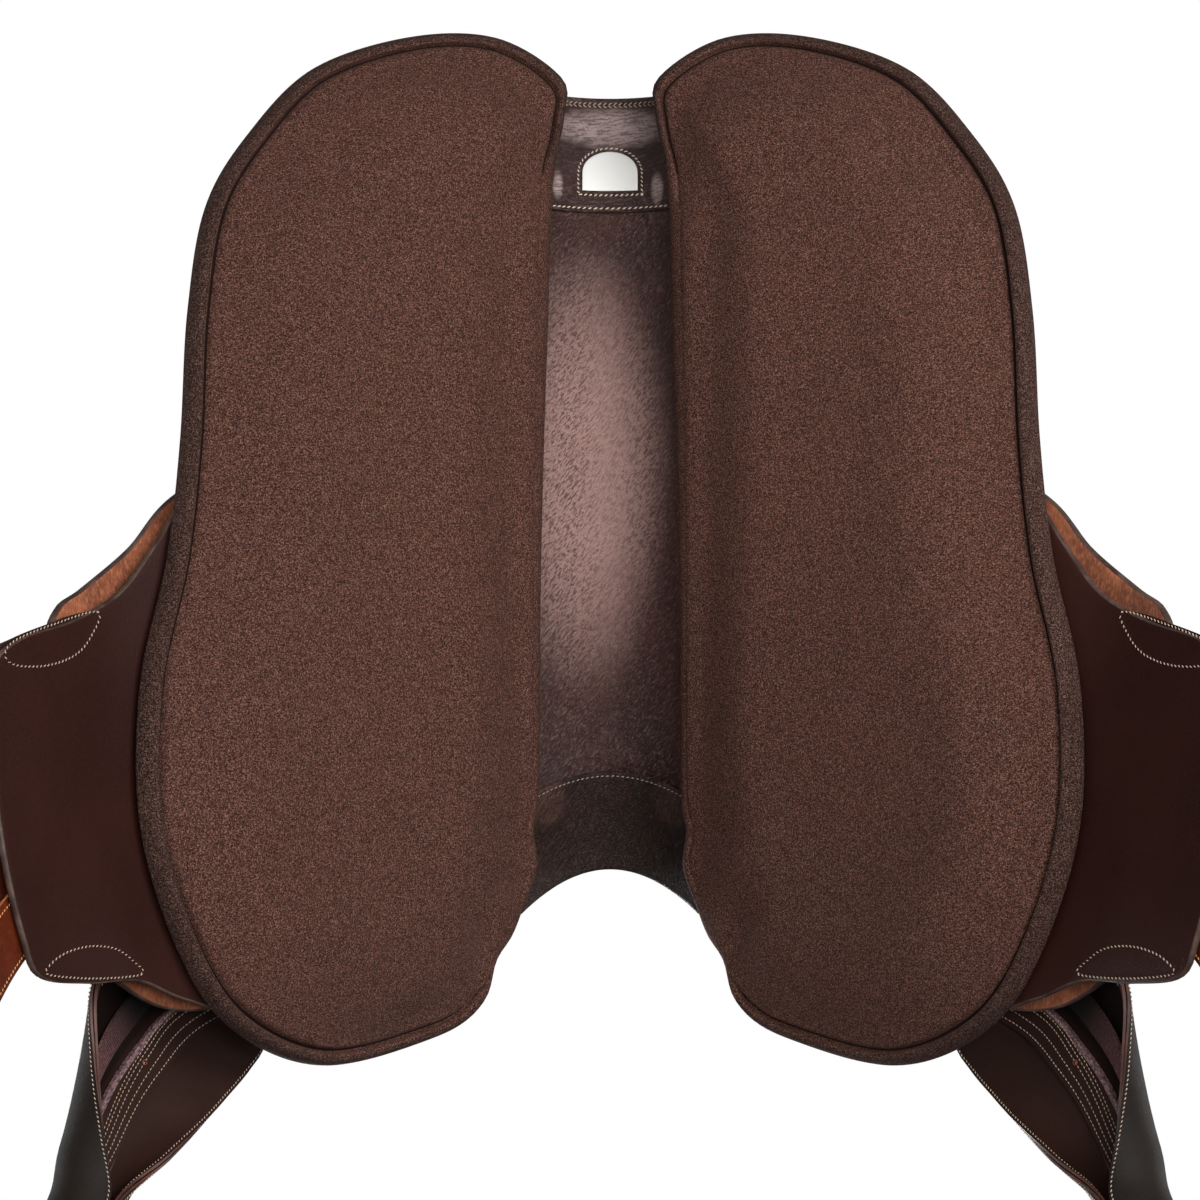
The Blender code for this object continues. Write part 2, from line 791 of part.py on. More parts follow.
def bar_frame():
    """Along the bar, down the side and off the back, and the middle of the plate that carries it."""
    out = back_normal(bar_s, bar_y)
    down = bar_axis().cross(out).normalized()
    return bar_axis(), down, out, bar_centre - down * bar_reach


def catch_pivot():
    axis, _, _, plate_centre = bar_frame()
    return plate_centre + axis * (bar_plate[0] / 2 + catch_gap + catch_size[0] / 2)


def stirrup_bar(side, hand):
    """A plate on the edge of the tree, and a round bar that leaves its front end and turns back."""
    axis, down, out, plate_centre = bar_frame()
    foot = frame_at(plate_centre, axis, out)
    name = "stirrup_bar_" + hand
    plate = block(name, bar_plate, mirrored(foot, side), "steel")
    half = bar_length / 2
    corner = 0.007
    front_end = bar_centre - axis * half
    path = [front_end - down * bar_reach, front_end - down * corner]
    for k in range(1, 4):
        turn = math.pi / 2 * k / 4
        path.append(front_end - down * corner * (1 - math.sin(turn)) + axis * corner * (1 - math.cos(turn)))
    path.append(front_end + axis * corner)
    path.append(bar_centre + axis * half)
    rod = tube(name + "_rod", [sided(p, side) for p in path], bar_radius, 12, "steel")
    union(plate, rod)
    pivot = catch_pivot()
    centre = pivot + down * (catch_size[1] - catch_size[0]) / 2
    catch = block("bar_catch_" + hand, catch_size, mirrored(frame_at(centre, axis, out), side), "steel", 0.0006)
    hang(catch, pivot, side)


def leather_loop(side, hand):
    """The top of the stirrup leather: a flat loop round the bar, open for it to turn."""
    _, _, _, out = fender_frame()
    axis = bar_axis()
    place = frame_at(bar_centre, axis, out)
    inner = bar_radius + loop_clearance
    outer = inner + loop_thickness
    count = 20
    rings = []
    for along, radius in ((-1, inner), (-1, outer), (1, outer), (1, inner), (-1, inner)):
        ring = []
        for i in range(count):
            angle = 2.0 * math.pi * (i + 0.5) / count
            x = radius * math.cos(angle)
            z = radius * math.sin(angle) + (loop_reach if math.sin(angle) > 0 else 0.0)
            ring.append(place @ Vector((along * loop_width / 2, x, z)))
        rings.append(ring)
    hang(rings_solid("leather_loop_" + hand, rings, "leather", side), bar_centre, side)


fender_ahead = 45.0
edge_front = [(0.0, -0.018), (0.035, -0.019), (0.075, -0.036), (0.104, -0.050), (0.1407, -0.0417),
              (0.1874, -0.0233), (0.2234, -0.0050), (0.250, -0.0060), (0.320, -0.0160),
              (fender_length, -0.0220)]
edge_rear = [(0.0, 0.018), (0.035, 0.019), (0.075, 0.038), (0.115, 0.058), (0.1527, 0.0636),
             (0.181, 0.0438), (0.2086, 0.0177), (0.2263, 0.0020), (0.250, 0.0030), (0.320, 0.0140),
             (fender_length, 0.0220)]
leather_width = [(0.0, 0.0365), (0.035, 0.0385), (0.075, 0.0750), (0.115, 0.1095), (0.150, 0.1090),
                 (0.200, 0.0850), (0.230, 0.0900), (0.320, 0.0860), (fender_length, 0.0660)]


def bow_angle(chord, length):
    """Half the angle of an arc of this length over this chord."""
    low, high = 0.0001, math.pi * 0.985
    for _ in range(40):
        middle = (low + high) / 2
        if math.sin(middle) / middle * length > chord:
            low = middle
        else:
            high = middle
    return low


def fender_point(a, share, offset):
    """A point of the fender: a along it, share from its front edge to its rear edge, offset outward."""
    origin, down, ahead, out = fender_frame()
    turn = math.radians(fender_ahead)
    along = down * math.cos(turn) + ahead * math.sin(turn)
    across = down * math.sin(turn) - ahead * math.cos(turn)
    start = through(edge_front, a)
    end = through(edge_rear, a)
    chord = end - start
    length = max(through(leather_width, a), chord * 1.002)
    half = bow_angle(chord, length)
    radius = length / (2 * half)
    angle = half * (2 * share - 1)
    b = (start + end) / 2 + (radius + offset) * math.sin(angle)
    c = (radius + offset) * math.cos(angle) - radius * math.cos(half)
    reach = math.hypot(a, b)
    over_loop = bar_radius + loop_clearance + loop_thickness + loop_reach + strap_thickness
    dip_depth = (origin - bar_centre).length - over_loop - fender_thickness / 2 - dip_clearance
    dip = dip_depth * max(0.0, 1.0 - reach / fender_dip_radius) ** 1.15
    return origin + along * a + across * b + out * (c - dip)


def fender_strip(name, a_from, a_to, rows, cols, share_from, share_to, inner, outer, surface, side):
    over, under = [], []
    for i in range(rows + 1):
        a = mix(a_from, a_to, i / rows)
        shares = [mix(share_from(a), share_to(a), j / cols) for j in range(cols + 1)]
        over.append([fender_point(a, share, outer) for share in shares])
        under.append([fender_point(a, share, inner) for share in shares])
    hang(grid_solid(name, over, under, surface, side), bar_centre, side)


def fender(side, hand):
    half = fender_thickness / 2
    inside = -half - seat_gap
    fender_strip("fender_" + hand, -0.006, fender_length, 22, 15, lambda a: 0.0, lambda a: 1.0,
                 -half, half, "leather", side)

    def strap_share(offset):
        return lambda a: 0.5 + (offset - strap_aside * ease(a / 0.08)) / max(through(leather_width, a), 0.0365)

    fender_strip("stirrup_leather_" + hand, -0.006, fender_length, 22, 3,
                 strap_share(-strap_width / 2), strap_share(strap_width / 2),
                 inside - strap_thickness, inside, "leather", side)
    fender_strip("leather_tail_" + hand, tail_start, fender_length, 16, 2,
                 strap_share(strap_width / 2 + tail_gap), strap_share(strap_width / 2 + tail_gap + tail_width),
                 inside - tail_lift - tail_thickness, inside - tail_lift, "suede", side)


clear_scene()
gullet()
tree()
head_plate()
seat()
for side, hand in ((1.0, "left"), (-1.0, "right")):
    panel(side, "panel_" + hand)
    flaps(side, hand)
    blocks(side, hand)
    billets(side, hand)
    stirrup_bar(side, hand)
    leather_loop(side, hand)
    fender(side, hand)
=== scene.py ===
import bisect
import math

import bmesh
import bpy
from mathutils import Matrix, Vector, kdtree, noise


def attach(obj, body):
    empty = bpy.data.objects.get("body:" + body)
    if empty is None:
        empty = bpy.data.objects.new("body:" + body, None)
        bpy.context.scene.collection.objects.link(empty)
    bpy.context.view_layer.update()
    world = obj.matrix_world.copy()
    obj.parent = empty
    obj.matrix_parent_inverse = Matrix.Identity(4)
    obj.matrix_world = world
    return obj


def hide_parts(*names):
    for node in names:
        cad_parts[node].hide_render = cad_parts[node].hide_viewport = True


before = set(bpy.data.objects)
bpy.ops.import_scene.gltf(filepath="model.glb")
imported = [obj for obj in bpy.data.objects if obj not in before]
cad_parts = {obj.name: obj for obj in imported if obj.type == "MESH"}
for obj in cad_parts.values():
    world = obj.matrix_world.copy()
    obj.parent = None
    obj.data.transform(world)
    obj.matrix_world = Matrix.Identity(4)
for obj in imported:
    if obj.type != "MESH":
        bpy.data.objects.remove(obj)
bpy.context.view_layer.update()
sides = ((1.0, "left"), (-1.0, "right"))
print("frame loaded")


# Sums and curves

def mix(a, b, t):
    return a + (b - a) * t


def ease(t):
    t = min(1.0, max(0.0, t))
    return t * t * (3.0 - 2.0 * t)


def bell(value, middle, width):  # 1 at the middle, and next to nothing two widths away
    return math.exp(-((value - middle) / width) ** 2)


def through(points, x):  # smooth curve through points sorted by their first number
    places = [p[0] for p in points]
    if x <= places[0]:
        return points[0][1]
    if x >= places[-1]:
        return points[-1][1]
    i = bisect.bisect_right(places, x) - 1
    (x0, y0), (x1, y1) = points[i], points[i + 1]
    before = points[max(i - 1, 0)]
    after = points[min(i + 2, len(points) - 1)]
    span = x1 - x0
    lean0 = (y1 - before[1]) / (x1 - before[0]) * span
    lean1 = (after[1] - y0) / (after[0] - x0) * span
    t = (x - x0) / span
    return ((2 * t**3 - 3 * t**2 + 1) * y0 + (t**3 - 2 * t**2 + t) * lean0
            + (3 * t**2 - 2 * t**3) * y1 + (t**3 - t**2) * lean1)


def curvePoints(points, steps=14):  # a fine closed line that bends smoothly through the points
    size = len(points)
    fine = []
    for i in range(size):
        a, b, c, d = (points[(i + k) % size] for k in (-1, 0, 1, 2))
        for j in range(steps):
            t = j / steps
            fine.append(tuple(
                0.5 * (2 * b[k] + (c[k] - a[k]) * t + (2 * a[k] - 5 * b[k] + 4 * c[k] - d[k]) * t * t
                       + (3 * b[k] - a[k] - 3 * c[k] + d[k]) * t**3) for k in range(len(b))))
    return fine


def closedCurve(points, count):  # count points spaced evenly along that line
    fine = curvePoints(points)
    loop = fine + fine[:1]
    lengths = [0.0]
    for a, b in zip(loop, loop[1:]):
        lengths.append(lengths[-1] + math.dist(a, b))
    found = []
    for i in range(count):
        along = lengths[-1] * i / count
        j = min(bisect.bisect_right(lengths, along) - 1, len(loop) - 2)
        t = (along - lengths[j]) / max(lengths[j + 1] - lengths[j], 1e-12)
        found.append(tuple(mix(p, q, t) for p, q in zip(loop[j], loop[j + 1])))
    return found


# The horse's back: s runs down the side, y to the rear, h off the back

back = {
    "gulletHalfWidth": 0.031, "gulletDepth": 0.030, "rocker": 0.45, "rockerCentreY": -0.020,
    "frontY": -0.250, "rearY": 0.260, "frontSlopes": (35.0, 52.4), "rearSlopes": (11.3, 31.8),
    "panelReach": 0.215, "flapBend": 0.070, "flapSlope": 66.0, "step": 0.0025, "steps": 230,
    "mostInward": 0.9,
}


def slope(s, y):
    t = ease((y - back["frontY"]) / (back["rearY"] - back["frontY"]))
    inner = mix(back["frontSlopes"][0], back["rearSlopes"][0], t)
    outer = mix(back["frontSlopes"][1], back["rearSlopes"][1], t)
    onPanel = mix(inner, outer, min(s, back["panelReach"]) / back["panelReach"])
    return math.radians(mix(onPanel, back["flapSlope"], ease((s - back["panelReach"]) / back["flapBend"])))


def gulletEdgeZ(y):
    return back["rocker"] * (y - back["rockerCentreY"]) ** 2 - back["gulletDepth"]


columns = {}


def column(y):  # the back's line across the horse at y, kept once it is worked out
    key = round(y, 5)
    if key not in columns:
        x, z, s, step = back["gulletHalfWidth"], gulletEdgeZ(y), 0.0, back["step"]
        points = [(x, z)]
        for _ in range(back["steps"]):
            angle = slope(s + step / 2, y)
            x += step * math.cos(angle)
            z -= step * math.sin(angle)
            s += step
            points.append((x, z))
        columns[key] = points
    return columns[key]


def onBack(s, y, h=0.0):
    points = column(y)
    angle = slope(max(s, 0.0), y)
    along = max(s, 0.0) / back["step"]
    i = min(int(along), len(points) - 2)
    t = along - i
    x = mix(points[i][0], points[i + 1][0], t) + min(s, 0.0) * math.cos(angle)
    z = mix(points[i][1], points[i + 1][1], t) - min(s, 0.0) * math.sin(angle)
    return Vector((x + h * math.sin(angle), y, z + h * math.cos(angle)))


def backZ(x, y):
    points = column(y)
    i = bisect.bisect_right([p[0] for p in points], x) - 1
    if i < 0:
        return points[0][1]
    i = min(i, len(points) - 2)
    (x0, z0), (x1, z1) = points[i], points[i + 1]
    return mix(z0, z1, (x - x0) / (x1 - x0))


def spinePoint(point, spine):
    (s0, y0), (s1, y1) = spine
    along = (point[0] - s0) * (s1 - s0) + (point[1] - y0) * (y1 - y0)
    share = min(1.0, max(0.0, along / math.dist((s0, y0), (s1, y1)) ** 2))
    return mix(s0, s1, share), mix(y0, y1, share)


def inward(point, spine, inset, share=0.0):  # in by a length, and on by a share of what is left
    middle = spinePoint(point, spine)
    length = max(math.dist(point, middle), 1e-6)
    t = min(1.0, inset / length)
    t += (back["mostInward"] - t) * share
    return mix(point[0], middle[0], t), mix(point[1], middle[1], t)


# Node trees

class Wire:  # a socket that takes part in sums
    def __init__(self, tree, socket):
        self.tree = tree
        self.socket = socket

    def calc(self, operation, *values):
        return self.tree.node("ShaderNodeMath", {"operation": operation}, dict(enumerate(values)))

    def __add__(self, other):
        return self.calc("ADD", self, other)

    def __radd__(self, other):
        return self.calc("ADD", other, self)

    def __sub__(self, other):
        return self.calc("SUBTRACT", self, other)

    def __rsub__(self, other):
        return self.calc("SUBTRACT", other, self)

    def __mul__(self, other):
        return self.calc("MULTIPLY", self, other)

    def __rmul__(self, other):
        return self.calc("MULTIPLY", other, self)

    def __truediv__(self, other):
        return self.calc("DIVIDE", self, other)

    def __pow__(self, other):
        return self.calc("POWER", self, other)

    def __abs__(self):
        return self.calc("ABSOLUTE", self)

    def least(self, other):
        return self.calc("MINIMUM", self, other)

    def most(self, other):
        return self.calc("MAXIMUM", self, other)

    def between(self, low, high):  # 0 at low and 1 at high, eased
        return self.tree.node("ShaderNodeMapRange", {"interpolation_type": "SMOOTHSTEP"},
                              {0: self, 1: low, 2: high, 3: 0.0, 4: 1.0})


class Tree:
    def __init__(self, group):
        self.group = group

    def node(self, kind, settings=None, sockets=None, output=0):
        made = self.group.nodes.new(kind)
        for key, value in (settings or {}).items():
            if key == "stops":
                ramp = made.color_ramp.elements
                while len(ramp) < len(value):
                    ramp.new(0.5)
                for element, (place, colour) in zip(ramp, value):
                    element.position = place
                    element.color = colour
            else:
                setattr(made, key, value)
        for key, value in (sockets or {}).items():
            if isinstance(value, Wire):
                self.group.links.new(value.socket, made.inputs[key])
            elif value is not None:
                made.inputs[key].default_value = value
        return Wire(self, made.outputs[output])

    def blend(self, factor, a, b, mode="MIX"):  # colours, by a number from 0 to 1
        return self.node("ShaderNodeMix", {"data_type": "RGBA", "blend_type": mode},
                         {0: factor, 6: a, 7: b}, 2)

    def coords(self, scale=(1.0, 1.0, 1.0), turn=(0.0, 0.0, 0.0)):  # turned first, then stretched
        place = self.node("ShaderNodeTexCoord", output="Object")
        turned = self.node("ShaderNodeMapping", {}, {"Vector": place, "Rotation": turn})
        return self.node("ShaderNodeMapping", {}, {"Vector": turned, "Scale": scale})

    def parts(self, vector):  # its x, y and z
        x = self.node("ShaderNodeSeparateXYZ", {}, {0: vector})
        return [Wire(self, socket) for socket in x.socket.node.outputs]

    def strapPlace(self):  # how far along and across its strap a point is
        return self.parts(self.node("ShaderNodeUVMap", {"uv_map": "strap"}))[:2]

    def scaled(self, vector, scale, moved):  # a vector stretched, then moved
        return self.node("ShaderNodeVectorMath", {"operation": "MULTIPLY_ADD"},
                         {0: vector, 1: (scale, scale, scale), 2: moved})

    def noise(self, place, scale, detail=2.0, rough=0.5):
        return self.node("ShaderNodeTexNoise", {}, {"Vector": place, "Scale": scale, "Detail": detail,
                                                   "Roughness": rough})

    def bump(self, strength, distance, height):
        return self.node("ShaderNodeBump", {}, {"Strength": strength, "Distance": distance, "Height": height})


def linear(red, green, blue):  # a colour read off a screen, as light
    def one(value):
        value /= 255.0
        return value / 12.92 if value <= 0.04045 else ((value + 0.055) / 1.055) ** 2.4
    return one(red), one(green), one(blue), 1.0


def shaded(name, **fixed):  # an empty material with its shader's own numbers set
    made = bpy.data.materials.new(name)
    made.use_nodes = True
    made.node_tree.nodes.clear()
    tree = Tree(made.node_tree)
    shader = made.node_tree.nodes.new("ShaderNodeBsdfPrincipled")
    out = made.node_tree.nodes.new("ShaderNodeOutputMaterial")
    made.node_tree.links.new(shader.outputs[0], out.inputs[0])
    for key, value in fixed.items():
        shader.inputs[key.replace("_", " ")].default_value = value
    return made, tree, shader


def feed(tree, shader, **wires):
    for key, wire in wires.items():
        tree.group.links.new(wire.socket, shader.inputs[key.replace("_", " ")])


# Materials

cloth = {
    "cloudScale": 9.0, "mottleScale": 260.0, "speckScale": 1350.0, "hairTilt": 0.25, "bump": 0.6,
    "bumpDepth": 0.0006,
}


def sergeCloth(name, look):
    made, tree, shader = shaded(name, Sheen_Weight=look["sheen"], Sheen_Roughness=0.5, Roughness=0.95,
                                Specular_IOR_Level=0.10, Sheen_Tint=look["sheenTint"])
    place = tree.coords()
    cloud = tree.noise(place, cloth["cloudScale"], 3.0, 0.6)
    mottle = tree.noise(place, cloth["mottleScale"], 4.0, 0.7)
    fibres, gaps = None, None
    for k in range(look["fibreTurns"]):  # short hairs lying every way, pale ones and dark ones
        tilt = cloth["hairTilt"]
        turn = (tilt * math.sin(k * 2.1), tilt * math.cos(k * 1.7), math.pi * k / look["fibreTurns"] + 0.2)
        strand = tree.noise(tree.coords(look["fibreScale"], turn), 1.0, 1.0, 0.5)
        lit, dark = strand.between(look["fleckFrom"], look["fleckTo"]), strand.between(0.33, 0.25)
        fibres = lit if fibres is None else fibres.most(lit)
        gaps = dark if gaps is None else gaps.most(dark)
    speck = tree.noise(place, cloth["speckScale"], 2.0, 0.8)
    ground = tree.blend(mottle.between(0.25, 0.70), look["dark"], look["base"])
    ground = tree.blend(cloud.between(0.3, 0.75) * 0.5, ground, look["warm"])
    ground = tree.blend(speck.between(0.52, 0.38) * 0.85, ground, look["deep"])
    ground = tree.blend(speck.between(0.53, 0.66) * 0.50, ground, look["fleck"])
    ground = tree.blend(gaps * 0.65, ground, look["deep"])
    colour = tree.blend(fibres * look["fleckShare"], ground, look["fleck"])
    height = fibres * 0.5 + speck * 0.6 + mottle * 0.7 - gaps * 0.4
    feed(tree, shader, Base_Color=colour, Normal=tree.bump(cloth["bump"], cloth["bumpDepth"], height))
    return made


plainGrain = {  # what a grained leather has unless its look says otherwise
    "specular": 0.4, "cloudScale": 14.0, "grainStretch": (1, 1, 1), "creaseTurn": 0.0,
    "creaseScale": (60, 22, 60), "fineShare": 0.25, "grainShade": 0.0, "creaseShade": 0.0, "creaseLight": 0.0,
    "polished": (), "bump": 0.5, "warpGrain": 0.0016, "warpCreases": 1.5, "sideCreases": None, "hollow": None,
}


def grainedLeather(name, look):
    look = {"smoothed": look["light"], **plainGrain, **look}
    made, tree, shader = shaded(name, Roughness=look["roughness"], Specular_IOR_Level=look["specular"])
    place = tree.coords()
    across, along, _ = tree.parts(place)
    turn = (0.0, 0.0, look["creaseTurn"])
    cloud = tree.noise(place, look["cloudScale"], 4.0, 0.55)
    fine = tree.noise(place, 420.0, 3.0, 0.6)
    drift = tree.node("ShaderNodeTexNoise", {},
                      {"Vector": place, "Scale": look["grainScale"] * 0.7, "Detail": 2.0}, "Color")
    warped = tree.scaled(drift, look["warpGrain"], tree.coords(look["grainStretch"], turn))
    pores = tree.node("ShaderNodeTexVoronoi", {"feature": "DISTANCE_TO_EDGE"},
                      {"Vector": warped, "Scale": look["grainScale"]})
    colour = tree.blend(cloud.between(0.32, 0.70), look["dark"], look["base"])
    colour = tree.blend(fine.between(0.42, 0.72) * look["fineShare"], colour, look["light"])
    colour = tree.blend(pores.between(0.16, 0.0) * look["grainShade"], colour, look["dark"])
    rough = look["roughness"] + (fine - 0.5) * 0.16 + (cloud - 0.5) * 0.10
    creases = tree.noise(tree.scaled(drift, look["warpCreases"], tree.coords(look["creaseScale"], turn)),
                         1.0, 3.0, 0.60)
    for x, y, wide, high, share in look["polished"]:  # painted sheen: lighter colour, and a little less rough, where the lamps' highlight falls
        awayX, awayY = (across - x) / wide, (along - y) / high
        sheenMask = (1.0 - (awayX * awayX + awayY * awayY + (cloud - 0.5) * 0.5).between(0.0, 1.0)) * share
        colour = tree.blend(sheenMask, colour, look["smoothed"])
        rough = rough - sheenMask * 0.10
    edges = 1.0
    if look["sideCreases"]:  # stronger away from the middle line
        width, share = look["sideCreases"]
        edges = (1.0 - share) + share * abs(across).between(0.0, width)
    # painted shade in the creases' folds, and a painted highlight on their crests
    folds = creases.between(0.53, 0.40) * edges
    crests = creases.between(0.52, 0.64) * edges
    colour = tree.blend(folds * look["creaseShade"], colour, look["dark"])
    colour = tree.blend(crests * look["creaseLight"], colour, look["smoothed"])
    if look["hollow"]:  # painted shade: darker inside the fender's roll and in the flap's shadow, by the place along and across it
        far, wide = tree.strapPlace()
        rollShade = wide.between(0.50, 0.55) * (1.0 - wide.between(0.80, 1.0) * 0.5)
        flapShadow = far.between(0.128, 0.095) * wide.between(0.44, 0.52)
        colour = tree.blend((rollShade * 0.80).most(flapShadow), colour, look["hollow"])
    height = pores.least(0.25) * 4.0 * look["grainDepth"] + fine * 0.12
    height = height + creases * look["creaseDepth"] * edges
    feed(tree, shader, Base_Color=colour, Roughness=rough, Normal=tree.bump(look["bump"], 0.0008, height))
    return made


def fleshSide(name, look):
    made, tree, shader = shaded(name, Roughness=0.88, Sheen_Weight=0.08, Specular_IOR_Level=0.2)
    blotch = tree.noise(tree.coords(), 45.0, 4.0, 0.65)
    nap = tree.noise(tree.coords((900, 260, 900)), 1.0, 2.0, 0.6)
    colour = tree.blend(blotch.between(0.38, 0.72), look["dark"], look["base"])
    colour = tree.blend(nap.between(0.4, 0.75) * 0.45, colour, look["light"])
    feed(tree, shader, Base_Color=colour, Normal=tree.bump(0.4, 0.0005, nap + blotch * 0.4))
    return made


def ribbedSide(name, look):  # the second strap, finely ribbed across
    made, tree, shader = shaded(name, Roughness=0.78, Specular_IOR_Level=0.2)
    place = tree.coords()
    along, _ = tree.strapPlace()
    cloud = tree.noise(place, 60.0, 3.0, 0.6)
    fine = tree.noise(place, 1100.0, 2.0, 0.6)
    turn = (along / look["ribPitch"] + cloud * 0.8) * (2.0 * math.pi)
    rib = turn.calc("SINE", turn) * 0.5 + 0.5
    colour = tree.blend(rib, look["dark"], look["base"])
    colour = tree.blend(fine.between(0.45, 0.75) * 0.5, colour, look["light"])
    # painted shade: the tail darkens towards its top, where the flap's shadow falls
    colour = tree.blend(along.between(look["shadeFrom"], look["shadeTo"]), colour, look["shade"])
    feed(tree, shader, Base_Color=colour, Normal=tree.bump(0.6, 0.0006, rib + fine * 0.4))
    return made


def cutEdge(name, look):  # the burnished side of a strap or flap
    made, tree, shader = shaded(name, Roughness=0.55, Specular_IOR_Level=0.35)
    streak = tree.noise(tree.coords(), look["streakScale"], 4.0, 0.7)
    colour = tree.blend(streak.between(0.35, 0.7), look["dark"], look["base"])
    feed(tree, shader, Base_Color=colour, Normal=tree.bump(0.3, 0.0004, streak))
    return made


def plainFinish(name, colour, roughness, speckle, scale, specular, metallic=0.0):
    made, tree, shader = shaded(name, Roughness=roughness, Metallic=metallic, Specular_IOR_Level=specular)
    fine = tree.noise(tree.coords(), scale, 3.0, 0.6)
    dark = tuple(c * (1 - speckle) for c in colour[:3]) + (1.0,)
    light = tuple(min(1.0, c * (1 + speckle)) for c in colour[:3]) + (1.0,)
    feed(tree, shader, Base_Color=tree.blend(fine, dark, light), Roughness=roughness + (fine - 0.5) * 0.15,
         Normal=tree.bump(0.2, 0.0003, fine))
    return made


def billetLeather(name, look):  # strap leather, with punched holes down its middle painted near black, as painted shade
    made, tree, shader = shaded(name, Roughness=0.42, Specular_IOR_Level=0.2)
    place = tree.coords()
    cloud = tree.noise(place, 30.0, 4.0, 0.6)
    fine = tree.noise(place, 500.0, 2.0, 0.6)
    colour = tree.blend(cloud.between(0.3, 0.7), look["dark"], look["base"])
    colour = tree.blend(fine.between(0.45, 0.75) * 0.25, colour, look["light"])
    along, across = tree.strapPlace()
    cell = along.calc("FRACT", along / look["holePitch"]) - 0.5
    away = ((cell * look["holePitch"]) ** 2.0 + across ** 2.0) ** 0.5
    inRange = along.calc("LESS_THAN", along, look["holesFrom"])
    # painted shade: each hole is a near-black disc with a dent in the bump, not a cut
    hole = (1.0 - away.between(look["holeRadius"] * 0.8, look["holeRadius"])) * inRange
    colour = tree.blend(hole, colour, look["inHole"])
    feed(tree, shader, Base_Color=colour, Normal=tree.bump(0.5, 0.001, fine * 0.2 - hole))
    return made


